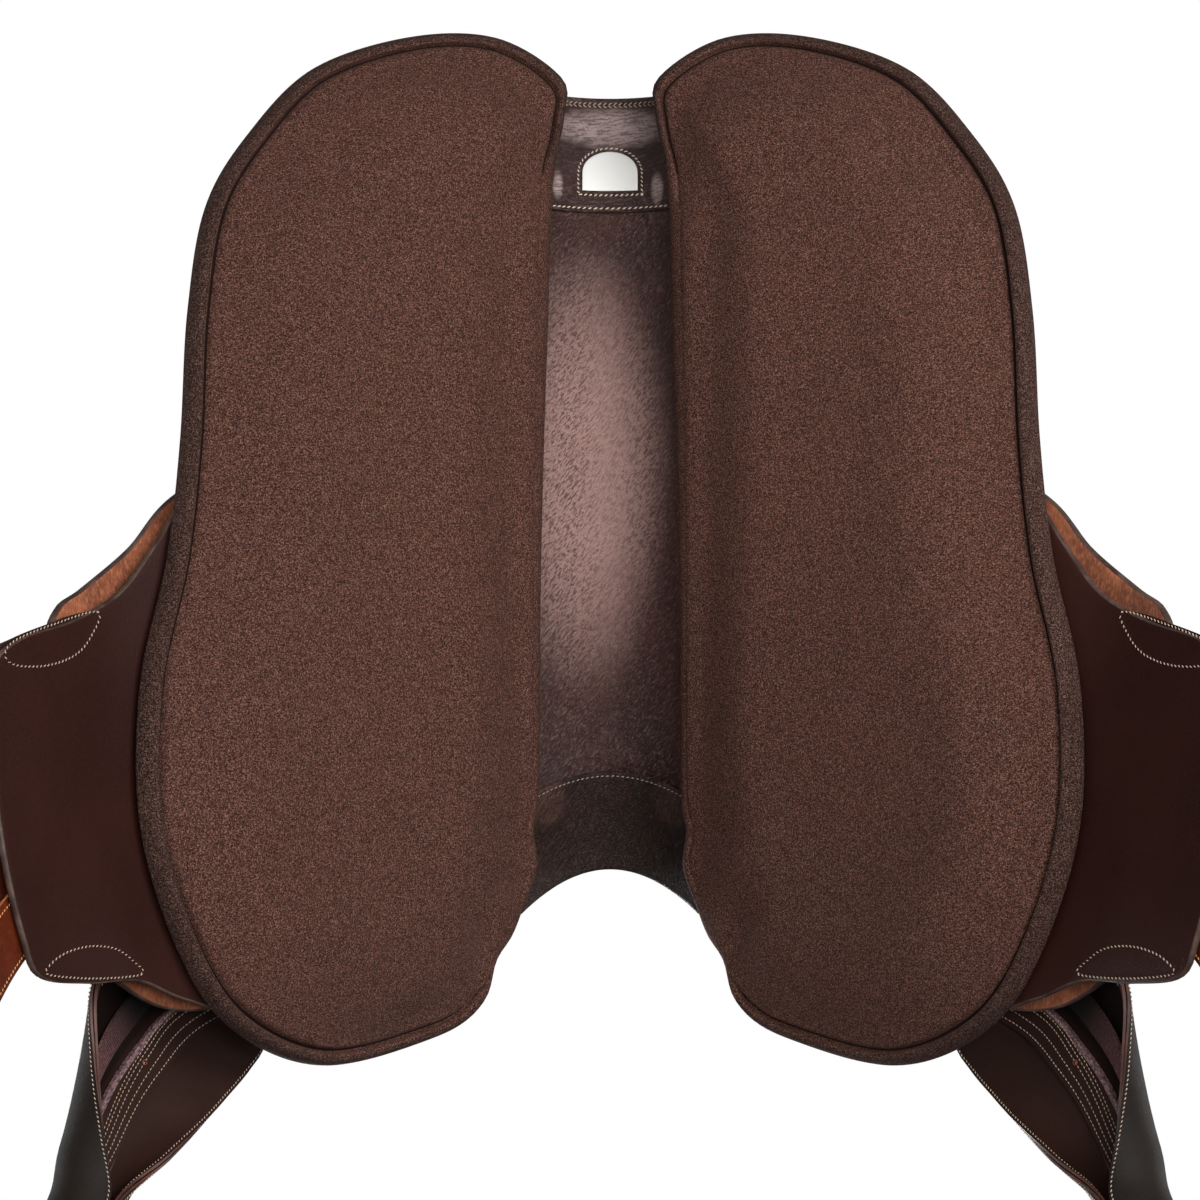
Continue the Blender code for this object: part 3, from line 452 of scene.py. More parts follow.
looks = {
    "serge": {
        "base": linear(71, 43, 35), "dark": linear(56, 32, 26), "deep": linear(21, 12, 9),
        "warm": linear(75, 43, 35), "fleck": linear(164, 124, 110), "fleckFrom": 0.675, "fleckTo": 0.745,
        "fleckShare": 0.55, "fibreTurns": 7, "fibreScale": (520, 2700, 2300), "sheen": 0.03,
        "sheenTint": linear(190, 150, 138)},
    # a darker copy of the serge: painted shade for the panels' side walls
    "sergeWall": {
        "base": linear(54, 35, 29), "dark": linear(40, 25, 21), "deep": linear(18, 11, 9),
        "warm": linear(58, 37, 31), "fleck": linear(146, 114, 103), "fleckFrom": 0.675, "fleckTo": 0.745,
        "fleckShare": 0.5, "fibreTurns": 5, "fibreScale": (520, 2700, 2300), "sheen": 0.02,
        "sheenTint": linear(170, 140, 130)},
    # the gullet leathers below carry painted highlights: patches of sheen painted lighter, given as x, y,
    # width, height and share
    "lining": {
        "base": linear(74, 42, 36), "dark": linear(44, 24, 20), "light": linear(104, 70, 62),
        "roughness": 0.40, "grainScale": 620.0, "grainStretch": (1.0, 2.1, 1.0), "grainDepth": 0.5,
        "grainShade": 0.30, "creaseDepth": 2.2, "creaseScale": (350, 1200, 350), "creaseTurn": 0.9,
        "creaseShade": 0.72, "creaseLight": 0.20, "sideCreases": (0.022, 0.50), "specular": 0.42,
        "bump": 0.7, "smoothed": linear(172, 136, 129), "polished": ((0.013, 0.042, 0.050, 0.126, 0.80),)},
    "rearLining": {
        "base": linear(60, 36, 31), "dark": linear(44, 26, 22), "light": linear(96, 66, 59),
        "roughness": 0.42, "grainScale": 620.0, "grainStretch": (1.0, 2.4, 1.0), "grainDepth": 0.5,
        "grainShade": 0.4, "creaseDepth": 1.6, "creaseScale": (170, 900, 170), "creaseTurn": 0.1,
        "creaseShade": 0.6, "creaseLight": 0.12, "specular": 0.38, "bump": 0.7,
        "smoothed": linear(188, 164, 160),
        "polished": ((0.000, 0.2262, 0.036, 0.0135, 0.80), (0.0272, 0.1925, 0.0034, 0.0095, 0.75),
                     (-0.0246, 0.1905, 0.0038, 0.0105, 0.80))},
    "flap": {
        "base": linear(47, 20, 14), "dark": linear(38, 15, 10), "light": linear(56, 28, 21),
        "roughness": 0.55, "grainScale": 900.0, "grainDepth": 0.18, "creaseDepth": 0.05, "fineShare": 0.12,
        "specular": 0.22, "cloudScale": 9.0},
    "fenderIn": {
        "base": linear(46, 27, 21), "dark": linear(37, 21, 16), "light": linear(56, 36, 29),
        "roughness": 0.66, "grainScale": 900.0, "grainDepth": 0.15, "creaseDepth": 0.1, "fineShare": 0.15,
        "specular": 0.10},
    "fenderOut": {
        "base": linear(29, 22, 18), "dark": linear(22, 17, 14), "light": linear(38, 31, 26),
        "roughness": 0.60, "grainScale": 900.0, "grainDepth": 0.2, "creaseDepth": 0.1, "fineShare": 0.15,
        "specular": 0.16},
    "seat": {
        "base": linear(58, 32, 26), "dark": linear(44, 23, 18), "light": linear(78, 48, 40),
        "roughness": 0.42, "grainScale": 640.0, "grainDepth": 0.45, "creaseDepth": 0.1, "fineShare": 0.2,
        "specular": 0.4},
    "facing": {
        "base": linear(48, 29, 22), "dark": linear(26, 16, 13), "light": linear(62, 42, 36),
        "roughness": 0.46, "grainScale": 640.0, "grainDepth": 0.5, "grainShade": 0.4, "creaseDepth": 1.8,
        "creaseScale": (300, 800, 300), "creaseTurn": 1.1, "creaseShade": 0.6, "creaseLight": 0.16,
        "fineShare": 0.2, "specular": 0.25, "bump": 0.7, "smoothed": linear(104, 74, 66),
        "polished": ((0.033, -0.128, 0.013, 0.018, 0.45), (-0.033, -0.128, 0.013, 0.018, 0.30))},
    "tan": {"base": linear(156, 90, 60), "dark": linear(108, 58, 38), "light": linear(184, 122, 86)},
    "ribbed": {
        "base": linear(122, 82, 84), "dark": linear(70, 42, 44), "light": linear(168, 128, 128),
        "ribPitch": 0.0011, "shadeFrom": 0.185, "shadeTo": 0.135, "shade": linear(14, 8, 8)},
    "edge": {"base": linear(88, 68, 60), "dark": linear(50, 34, 29), "streakScale": 70.0},
    "edgePink": {"base": linear(96, 62, 53), "dark": linear(66, 42, 36), "streakScale": 70.0},
    "strapEdge": {"base": linear(150, 116, 119), "dark": linear(52, 34, 36), "streakScale": 700.0},
    "billet": {
        "base": linear(92, 36, 18), "dark": linear(70, 26, 13), "light": linear(120, 56, 32),
        "holePitch": 0.025, "holesFrom": 0.110, "holeRadius": 0.0026, "inHole": (0.004, 0.002, 0.002, 1.0)},
    "billetEdge": {"base": linear(190, 128, 76), "dark": linear(140, 84, 46), "streakScale": 70.0},
}
# the fender's inside, with painted shade in its roll and under the flap
looks["fenderLining"] = {**looks["fenderIn"], "hollow": linear(12, 7, 6)}
surfaces = {key: make(name, looks[key]) for key, name, make in (
    ("serge", "flecked serge", sergeCloth), ("sergeWall", "shaded serge", sergeCloth),
    ("lining", "gullet leather", grainedLeather), ("rearLining", "rear facing leather", grainedLeather),
    ("flap", "flap leather", grainedLeather), ("fenderIn", "strap leather", grainedLeather),
    ("fenderLining", "fender leather inside", grainedLeather),
    ("fenderOut", "fender leather outside", grainedLeather), ("seat", "seat leather", grainedLeather),
    ("facing", "facing leather", grainedLeather), ("tan", "tan flesh side", fleshSide),
    ("ribbed", "ribbed strap side", ribbedSide), ("edge", "dark cut edge", cutEdge),
    ("edgePink", "fender cut edge", cutEdge), ("strapEdge", "strap cut edge", cutEdge),
    ("billet", "billet leather", billetLeather), ("billetEdge", "billet cut edge", cutEdge))}
for key, name, colour, roughness, speckle, scale, specular in (
        # the seam colour is painted shade: it darkens the sunken seam's groove and the floor of the punched
        # hole
        ("seam", "sunken seam", linear(32, 20, 17), 0.95, 0.3, 900.0, 0.1),
        ("thread", "cream thread", linear(176, 156, 138), 0.75, 0.22, 2400.0, 0.2),
        ("goldThread", "gold thread", linear(206, 150, 84), 0.7, 0.2, 2400.0, 0.2),
        # a paler copy of the cream thread: painted light, for stitching that sits in dim light on the rear
        # facing and around the plate
        ("litThread", "pale thread", linear(208, 192, 170), 0.75, 0.2, 2400.0, 0.2),
        ("holeRim", "punched hole rim", linear(142, 74, 60), 0.7, 0.15, 1500.0, 0.2),
        ("plate", "ivory plate", linear(236, 234, 230), 0.38, 0.015, 120.0, 0.5),
        ("shell", "moulded tree", linear(40, 40, 42), 0.6, 0.12, 240.0, 0.5)):
    surfaces[key] = plainFinish(name, colour, roughness, speckle, scale, specular)
surfaces["steel"] = plainFinish("satin steel", (0.56, 0.56, 0.57, 1.0), 0.32, 0.06, 160.0, 0.5, metallic=1.0)
print("materials made")


# Meshes

def sided(point, side):
    return point[0] * side, point[1], point[2]


mergeDistance = 1e-6


def meshPiece(name, points, faces, materials, faceMaterials, smoothAngle):
    mesh = bpy.data.meshes.new(name)
    mesh.from_pydata([tuple(p) for p in points], [], faces)
    for key in materials:
        mesh.materials.append(surfaces[key])
    mesh.polygons.foreach_set("material_index", faceMaterials)
    shape = bmesh.new()
    shape.from_mesh(mesh)
    bmesh.ops.remove_doubles(shape, verts=shape.verts, dist=mergeDistance)
    bmesh.ops.recalc_face_normals(shape, faces=shape.faces)
    shape.to_mesh(mesh)
    shape.free()
    mesh.shade_smooth()
    mesh.set_sharp_from_angle(angle=math.radians(smoothAngle))
    made = bpy.data.objects.new(name, mesh)
    bpy.context.scene.collection.objects.link(made)
    return made


def stripFaces(ring, spine):  # triangles across a ring, from one end of its spine to the other
    (s0, y0), (s1, y1) = spine
    along = [(p[0] - s0) * (s1 - s0) + (p[1] - y0) * (y1 - y0) for p in ring]
    count = len(ring)
    i = j = along.index(max(along))
    end = along.index(min(along))
    faces = []
    while i != end or j != end:
        onward, before = (i + 1) % count, (j - 1) % count
        if j == end or (i != end and along[onward] >= along[before]):
            faces.append((i, onward, j))
            i = onward
        else:
            faces.append((i, before, j))
            j = before
    return [face for face in faces if len(set(face)) == 3]


def ringsPiece(name, rings, bands, materials, side, ends=(), smoothAngle=50.0):
    count = len(rings[0])
    points = [sided(p, side) for ring in rings for p in ring]
    faces, given = [], []
    for k in range(len(rings) - 1):
        for i in range(count):
            j = (i + 1) % count
            faces.append((k * count + i, k * count + j, (k + 1) * count + j, (k + 1) * count + i))
            given.append(bands[k])
    last = (len(rings) - 1) * count
    for face in ends:
        faces.append(tuple(face))
        given.append(bands[0])
        faces.append(tuple(last + i for i in reversed(face)))
        given.append(bands[-1])
    return meshPiece(name, points, faces, materials, given, smoothAngle)


def gridPiece(name, over, under, materials, side=1.0, faceMaterial=(0, 0, 0), smoothAngle=50.0):
    rows, cols = len(over), len(over[0])
    points = [sided(p, side) for row in over for p in row] + [sided(p, side) for row in under for p in row]
    base = rows * cols
    faces, given = [], []
    for i in range(rows - 1):
        for j in range(cols - 1):
            a, b = i * cols + j, i * cols + j + 1
            c, d = (i + 1) * cols + j + 1, (i + 1) * cols + j
            faces += [(a, b, c, d), (base + c, base + b, base + a, base + d)]
            given += [faceMaterial[0], faceMaterial[1]]
    border = [(0, j) for j in range(cols)] + [(i, cols - 1) for i in range(1, rows)]
    border += [(rows - 1, j) for j in range(cols - 2, -1, -1)] + [(i, 0) for i in range(rows - 2, 0, -1)]
    for (i, j), (k, m) in zip(border, border[1:] + border[:1]):
        a, b = i * cols + j, k * cols + m
        faces.append((b, a, base + a, base + b))
        given.append(faceMaterial[2])
    return meshPiece(name, points, faces, materials, given, smoothAngle)


sheet = {"soft": 0.0011, "near": 0.0045, "far": 0.010}  # the edge's rounding, and the rings in from it


def sheetPiece(name, cut, lower, upper, materials, side):  # a leather sheet on the back, with a rounded edge
    edge = closedCurve(cut["outline"], cut["count"])
    spine = cut["spine"]
    soft, near, far = sheet["soft"], sheet["near"], sheet["far"]
    inner = [(far, k / cut["rings"]) for k in range(cut["rings"], -1, -1)]
    layers = [(inset, share, True, 0.0) for inset, share in inner] + [(near, 0.0, True, 0.0)]
    layers += [(soft, 0.0, True, 0.0), (soft * 0.3, 0.0, True, -soft * 0.3), (0.0, 0.0, True, -soft)]
    layers += [(0.0, 0.0, False, soft), (soft * 0.3, 0.0, False, soft * 0.3), (soft, 0.0, False, 0.0)]
    layers += [(near, 0.0, False, 0.0)] + [(inset, share, False, 0.0) for inset, share in reversed(inner)]
    rings, bands = [], []
    upperCount = len(inner) + 2
    for k, (inset, share, top, shift) in enumerate(layers):
        ring = []
        for point in edge:
            s, y = inward(point, spine, inset, share)
            ring.append(onBack(s, y, (upper(s, y) if top else lower(s, y)) + shift))
        rings.append(ring)
        bands.append(0 if k < upperCount - 1 else (2 if k < len(layers) - upperCount else 1))
    middle = [inward(p, spine, far, 1.0) for p in edge]
    return ringsPiece(name, rings, bands, materials, side, stripFaces(middle, spine), 60.0)


# Stitching: a run of short threads along a line

def stitchTree():
    group = bpy.data.node_groups.new("stitch run", "GeometryNodeTree")
    group.interface.new_socket("Geometry", in_out="INPUT", socket_type="NodeSocketGeometry")
    for label in ("Pitch", "Stitch length", "Thread radius", "Lean"):
        group.interface.new_socket(label, in_out="INPUT", socket_type="NodeSocketFloat")
    group.interface.new_socket("Thread", in_out="INPUT", socket_type="NodeSocketMaterial")
    group.interface.new_socket("Geometry", in_out="OUTPUT", socket_type="NodeSocketGeometry")
    tree = Tree(group)
    inputs = group.nodes.new("NodeGroupInput")
    given = {socket.name: Wire(tree, socket) for socket in inputs.outputs if socket.name}
    line = tree.node("GeometryNodeMeshToCurve", {}, {"Mesh": given["Geometry"]})
    spaced = tree.node("GeometryNodeResampleCurve", {"mode": "LENGTH"},
                       {"Curve": line, "Length": given["Pitch"]})
    bead = tree.node("GeometryNodeMeshUVSphere", {}, {"Segments": 6, "Rings": 5, "Radius": 1.0})
    long = tree.node("GeometryNodeTransform", {}, {
        "Geometry": bead,
        "Scale": tree.node("ShaderNodeCombineXYZ", {}, {
            0: given["Stitch length"] * 0.5, 1: given["Thread radius"], 2: given["Thread radius"]})})
    tangent = tree.node("GeometryNodeInputTangent")
    skin = tree.node("GeometryNodeInputNamedAttribute", {"data_type": "FLOAT_VECTOR"}, {"Name": "skin"})
    leaned = tree.node("ShaderNodeVectorRotate", {"rotation_type": "AXIS_ANGLE"}, {
        "Vector": tangent, "Axis": skin, "Angle": given["Lean"]})
    turn = tree.node("FunctionNodeAlignRotationToVector", {"axis": "X"}, {"Vector": leaned})
    placed = tree.node("GeometryNodeInstanceOnPoints", {},
                       {"Points": spaced, "Instance": long, "Rotation": turn})
    real = tree.node("GeometryNodeRealizeInstances", {}, {"Geometry": placed})
    smooth = tree.node("GeometryNodeSetShadeSmooth", {}, {"Geometry": real})
    dressed = tree.node("GeometryNodeSetMaterial", {}, {"Geometry": smooth, "Material": given["Thread"]})
    out = group.nodes.new("NodeGroupOutput")
    group.links.new(dressed.socket, out.inputs[0])
    return group


stitchGroup = stitchTree()
stitchRuns = {}  # body: runs of (points, skin directions, settings, side), one mesh per body at the end
plainStitch = {"pitch": 0.0021, "length": 0.0016, "radius": 0.00030, "lean": 0.5, "thread": "thread"}


def stitch(body, line, skins, side=1.0, **changes):
    points = [Vector(sided(p, side)) for p in line]
    skins = [Vector(sided(n, side)) for n in skins]
    stitchRuns.setdefault(body, []).append((points, skins, {**plainStitch, **changes}, side))


def skinsAt(places, line, h, up):  # which way a thread on the back is seen from: up, 1, or down, -1
    return [(onBack(s, y, h + 0.01) - p).normalized() * up for (s, y), p in zip(places, line)]


def stitchOnBack(body, path, h, side, up, count, **changes):
    fine = closedCurve(path, count)
    fine = fine + fine[:1]
    line = [onBack(s, y, h) for s, y in fine]
    stitch(body, line, skinsAt(fine, line, h, up), side, **changes)


def sewRun(points, skins, look, side):  # one run as a mesh
    mesh = bpy.data.meshes.new("run")
    mesh.from_pydata([tuple(p) for p in points], [(i, i + 1) for i in range(len(points) - 1)], [])
    skin = mesh.attributes.new("skin", "FLOAT_VECTOR", "POINT")
    skin.data.foreach_set("vector", [c for n in skins for c in n])
    run = bpy.data.objects.new("run", mesh)
    bpy.context.scene.collection.objects.link(run)
    sewn = run.modifiers.new("sew", "NODES")
    sewn.node_group = stitchGroup
    values = {"Pitch": look["pitch"], "Stitch length": look["length"], "Thread radius": look["radius"],
              "Lean": look["lean"] * side, "Thread": surfaces[look["thread"]]}
    for item in stitchGroup.interface.items_tree:
        if item.in_out == "INPUT" and item.name in values:
            sewn[item.identifier] = values[item.name]
    bpy.context.view_layer.update()
    made = bpy.data.meshes.new_from_object(run.evaluated_get(bpy.context.evaluated_depsgraph_get()))
    bpy.data.objects.remove(run)
    return made


def sewAll():
    for body, runs in stitchRuns.items():
        made = [sewRun(*run) for run in runs]
        whole = bmesh.new()
        threads = []
        for mesh in made:
            threads += [material for material in mesh.materials if material not in threads]
        for mesh in made:
            start = len(whole.faces)
            whole.from_mesh(mesh)
            whole.faces.ensure_lookup_table()
            for face in whole.faces[start:]:
                own = min(face.material_index, len(mesh.materials) - 1)
                face.material_index = threads.index(mesh.materials[own])
        mesh = bpy.data.meshes.new("stitching_" + body)
        whole.to_mesh(mesh)
        whole.free()
        for material in threads:
            mesh.materials.append(material)
        piece = bpy.data.objects.new("stitching_" + body, mesh)
        bpy.context.scene.collection.objects.link(piece)
        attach(piece, body)
    print("stitching made")


# Panels

panelCut = {
    "outline": [
        (-0.0044, 0.2463), (0.0301, 0.2662), (0.0760, 0.2645), (0.1270, 0.2446), (0.1612, 0.2079),
        (0.1840, 0.1689), (0.1951, 0.1155), (0.2033, 0.0513), (0.2174, -0.0065), (0.2430, -0.0666),
        (0.2544, -0.1265), (0.2400, -0.1812), (0.2095, -0.2235), (0.1512, -0.2497), (0.0804, -0.2433),
        (0.0494, -0.2289), (0.0398, -0.2078), (0.0296, -0.1956), (0.0222, -0.1813), (0.0130, -0.1600),
        (0.0148, -0.1400), (0.0110, -0.1206), (0.0074, -0.0043), (0.0025, 0.1127), (-0.0003, 0.1899),
        (-0.0062, 0.2250)],
    "spine": ((0.128, -0.130), (0.092, 0.160)), "count": 280, "rimWidth": 0.0080, "rimHeight": 0.0142,
    "wallReach": 0.0046, "seamDepth": 0.0046, "seamWidth": 0.0014, "crownHeight": 0.0315, "crownRun": 0.050,
    "topGap": 0.0030, "lump": 0.0005, "pressure": 4.0, "slack": -0.004, "mostPuff": 0.0016, "puffFrames": 20,
    "flat": 0.029, "seamFrom": 0.6, "heldTo": 0.008, "padCount": 130, "topRound": 0.0012, "rimFoot": 0.36,
    "crownFrom": 0.9, "crownPower": 0.85, "lumps": ((17.0, 0.7), (52.0, 0.3)), "lumpsOver": 0.03,
    # the seam begins away from the gullet and at the rear, and ends in the inner front corner
    "seamSide": (0.012, 0.022), "seamRear": (0.150, 0.075), "seamFront": (0.165, 0.018),
    "seamInner": (0.058, 0.014), "seamLine": 0.0004, "puffFrom": 0.001,
    "inner": [(0.0, 0.0060), (0.0015, 0.0105), (0.004, 0.0142), (0.008, 0.0172), (0.016, 0.0210),
              (0.030, 0.0262), (0.055, 0.0308), (0.080, 0.0320)],
}


def seamShare(s, y):  # 1 where the rim is sewn, 0 along the gullet
    (side, sideOver), (rear, rearOver) = panelCut["seamSide"], panelCut["seamRear"]
    (front, frontOver), (inner, innerOver) = panelCut["seamFront"], panelCut["seamInner"]
    seam = max(ease((s - side) / sideOver), ease((y - rear) / rearOver))
    return seam * (1.0 - ease((-front - y) / frontOver) * ease((inner - s) / innerOver))


def panelDrop(cut, inset, s, y):  # how far the serge hangs below the back
    width = cut["rimWidth"]
    rise = min(1.0, inset / cut["wallReach"])
    rim = cut["rimHeight"] * mix(cut["rimFoot"], 1.0, math.sqrt(1.0 - (1.0 - rise) ** 2))
    grown = ease((inset - width * cut["crownFrom"]) / cut["crownRun"]) ** cut["crownPower"]
    crown = mix(cut["rimHeight"], cut["crownHeight"], grown)
    sewn = rim if inset < width else crown
    seam = seamShare(s, y)
    sewn -= cut["seamDepth"] * bell(inset, width, cut["seamWidth"]) * ease(seam)
    return mix(through(cut["inner"], inset), sewn, seam)


def panelPoint(cut, side, point, inset, share):
    s, y = inward(point, cut["spine"], inset, share)
    depth = math.dist((s, y), point)
    place = Vector((s * side, y, 0.0))
    (scale, coarse), (fineScale, fine) = cut["lumps"]
    lump = noise.noise(place * scale) * coarse + noise.noise(place * fineScale + Vector((3, 1, 2))) * fine
    return onBack(s, y, -panelDrop(cut, depth, s, y) + cut["lump"] * lump * ease(depth / cut["lumpsOver"]))


def nearTree(points):
    tree = kdtree.KDTree(len(points))
    for i, p in enumerate(points):
        tree.insert(p, i)
    tree.balance()
    return tree


def panelPuff(cut, side):  # the flocked serge under pressure: how far each point of it moves
    edge = closedCurve(cut["outline"], cut["padCount"])
    flat = cut["flat"]
    rings, held = [], []
    for inset, share in ((flat, 1.0), (flat, 0.5), (flat, 0.0), (0.012, 0.0), (0.0, 0.0)):
        rings.append([onBack(*inward(p, cut["spine"], inset, share), -cut["topGap"]) for p in edge])
        held.append(True)
    layers = [(inset, 0.0) for inset in (0.003, 0.008, 0.013, 0.019, flat)]
    for inset, share in layers + [(flat, k / 10) for k in range(1, 11)]:
        rings.append([panelPoint(cut, side, p, inset, share) for p in edge])
        held.append(inset <= cut["heldTo"])
    middle = [inward(p, cut["spine"], flat, 1.0) for p in edge]
    pad = ringsPiece("pad", rings, [0] * len(rings), ["serge"], side, stripFaces(middle, cut["spine"]))
    start = [v.co.copy() for v in pad.data.vertices]
    pins = pad.vertex_groups.new(name="sewn")
    pinned = [sided(p, side) for ring, hold in zip(rings, held) if hold for p in ring]
    tree = nearTree(pinned)
    pins.add([i for i, p in enumerate(start) if tree.find(p)[2] < 1e-5], 1.0, "REPLACE")
    cloth = pad.modifiers.new("plump", "CLOTH")
    cloth.settings.vertex_group_mass = "sewn"
    cloth.settings.use_pressure = True
    cloth.settings.uniform_pressure_force = cut["pressure"]
    cloth.settings.shrink_min = cut["slack"]
    cloth.settings.effector_weights.gravity = 0.0
    cloth.settings.quality = 6
    cloth.point_cache.frame_start = 1
    cloth.point_cache.frame_end = cut["puffFrames"]
    for frameNumber in range(1, cut["puffFrames"] + 1):
        bpy.context.scene.frame_set(frameNumber)
    shaped = pad.evaluated_get(bpy.context.evaluated_depsgraph_get()).data
    moves = [v.co - p for v, p in zip(shaped.vertices, start)]
    bpy.data.objects.remove(pad)
    bpy.context.scene.frame_set(1)
    return nearTree(start), moves


def puffed(point, tree, moves, most):
    total, weight = Vector(), 0.0
    for _, i, away in tree.find_n(point, 5):
        share = 1.0 / (away + 0.001) ** 2
        total += moves[i] * share
        weight += share
    move = total / weight
    length = move.length
    if length > 1e-7:
        move *= most * math.tanh(length / most) / length
    return move


def buildPanel(side, hand):
    cut = panelCut
    edge = closedCurve(cut["outline"], cut["count"])
    width, flat = cut["rimWidth"], cut["flat"]
    wall = [0.0, 0.0002, 0.0006, 0.0012, 0.0020, 0.0030, 0.0042]
    seam = [width + away for away in (-0.0012, -0.0007, -0.0003, 0.0003, 0.0008, 0.0014, 0.0022)]
    insets = wall + [0.0054, 0.0062] + seam + [0.0120, 0.0145, 0.0180, 0.0230, flat]
    rings, bands = [], []
    topLayers = [(flat, k / 6) for k in range(6, -1, -1)]
    topLayers += [(inset, 0.0) for inset in (0.012, 0.004, 0.0012, 0.0)]
    for inset, share in topLayers:
        fall = cut["topRound"] if inset == 0.0 else 0.0
        rings.append([onBack(*inward(p, cut["spine"], inset, share), -cut["topGap"] - fall) for p in edge])
        bands.append(3)
    tree, moves = panelPuff(cut, side)
    for inset, share in [(inset, 0.0) for inset in insets] + [(flat, k / 14) for k in range(1, 15)]:
        ring = []
        for point in edge:
            place = panelPoint(cut, side, point, inset, share)
            if tree and inset > width + cut["puffFrom"]:
                move = puffed(sided(place, side), tree, moves, cut["mostPuff"])
                place = place + Vector(sided(move, side))
            ring.append(place)
        rings.append(ring)
        onSeam = abs(inset - width) < cut["seamLine"] and share == 0.0
        # painted shade: the side wall and the top edge's ring take the darker serge, the seam line the dark
        # seam colour
        bands.append(1 if inset in wall else (2 if onSeam else 0))
    bands[len(topLayers) - 1] = 1
    middle = [inward(p, cut["spine"], flat, 1.0) for p in edge]
    ends = stripFaces(middle, cut["spine"])
    surfaceNames = ["serge", "sergeWall", "seam", "facing"]
    panel = ringsPiece("panelCushion_" + hand, rings, bands, surfaceNames, side, ends, 80.0)
    plain = [seamShare(s, y) < cut["seamFrom"] for s, y in edge]
    keys = {}
    for ring in rings[len(topLayers):len(topLayers) + len(insets)]:
        for i, point in enumerate(ring):
            keys[tuple(round(c, 5) for c in sided(point, side))] = i
    for face in panel.data.polygons:  # the seam's painted dark line and the wall's painted shade are left out where there is no seam
        if face.material_index in (1, 2):
            i = keys.get(tuple(round(c, 5) for c in panel.data.vertices[face.vertices[0]].co))
            if i is not None and plain[i]:
                face.material_index = 0
    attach(panel, "seat")
    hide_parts("panel_" + hand)


for side, hand in sides:
    buildPanel(side, hand)
print("panels made")


# Gullet: lining, facings and the blank plate

gullet = {
    "halfWidth": 0.046, "thickness": 0.0025, "drop": 0.029, "archStart": -0.100, "archRise": 0.016,
    "pommelY": -0.164, "cantleY": 0.240, "facingStart": 0.175, "facingRise": 0.018, "gap": 0.0009,
    "frontFacing": (-0.1665, -0.1135, 0.021, 0.0150), "rearFacing": (0.1787, 0.2435), "liningFront": -0.136,
    "liningRear": 0.187, "rearWidth": 0.92, "threadStand": 0.0002,
    "frontStitch": {"pitch": 0.0026, "length": 0.0019, "radius": 0.00024, "lean": 0.2},
    "rearStitch": {"pitch": 0.0030, "length": 0.0025, "radius": 0.0004, "lean": 0.42, "thread": "litThread"},
    "zigzag": {"pitch": 0.0027, "length": 0.0026},
}


def liningZ(x, y):
    g, rocker = gullet, back["rocker"]
    level = rocker * ((y - back["rockerCentreY"]) ** 2 - back["rockerCentreY"] ** 2)
    level += g["archRise"] * ease((g["archStart"] - y) / (g["archStart"] - g["pommelY"]))
    level += g["facingRise"] * ease((y - g["facingStart"]) / (g["cantleY"] - g["facingStart"]))
    return level - g["drop"] * (x / g["halfWidth"]) ** 2


def acrossPiece(name, rows, cols, ends, bows, half, lift, thick, material, wrinkle):
    over, under = [], []
    for i in range(rows + 1):
        rowOver, rowUnder = [], []
        for j in range(cols + 1):
            t = 2.0 * j / cols - 1.0
            x = half * t
            y = mix(ends[0] - bows[0] * t * t, ends[1] - bows[1] * t * t, i / rows)
            z = liningZ(x, y) + lift
            edge = min(i, rows - i, j, cols - j)
            soft = thick * (0.0 if edge > 1 else (0.10 if edge == 1 else 0.38))
            rowUnder.append((x, y, z - wrinkle(x, y) + soft))
            rowOver.append((x, y, z + thick - soft))
        over.append(rowOver)
        under.append(rowUnder)
    return gridPiece(name, over, under, [material], smoothAngle=70.0)


def ruck(x, y, depth, scaleX, scaleY, lean=0.0):  # rounded creases, from noise
    place = Vector((x * scaleX + y * lean, y * scaleY - x * lean, 0.3))
    value = 1.0 - abs(noise.noise(place)) * 2.6
    return depth * max(0.0, value) ** 2


def liningWrinkle(x, y):
    deeper = bell(y, 0.150, 0.045) + 0.8 * bell(y, -0.095, 0.035)
    ripple = 0.0003 * noise.noise(Vector((x * 90, y * 90, 1.0)))
    return ruck(x, y, 0.0007, 40, 70, 46) * (0.25 + deeper) + ripple


def rearWrinkle(x, y):  # puckered beside the plate
    pucker = 0.0022 * bell(abs(x), 0.0258, 0.0045) * bell(y, 0.1920, 0.008)
    dent = 0.0008 * bell(abs(x), 0.0250, 0.008) * bell(y, 0.214, 0.008)
    return pucker - dent + ruck(x, y, 0.0006, 34, 150) * (0.3 + bell(y, 0.222, 0.014))


def frontWrinkle(x, y):
    return ruck(x, y, 0.0006, 90, 60, 30) * (0.5 + bell(abs(x), 0.034, 0.010))


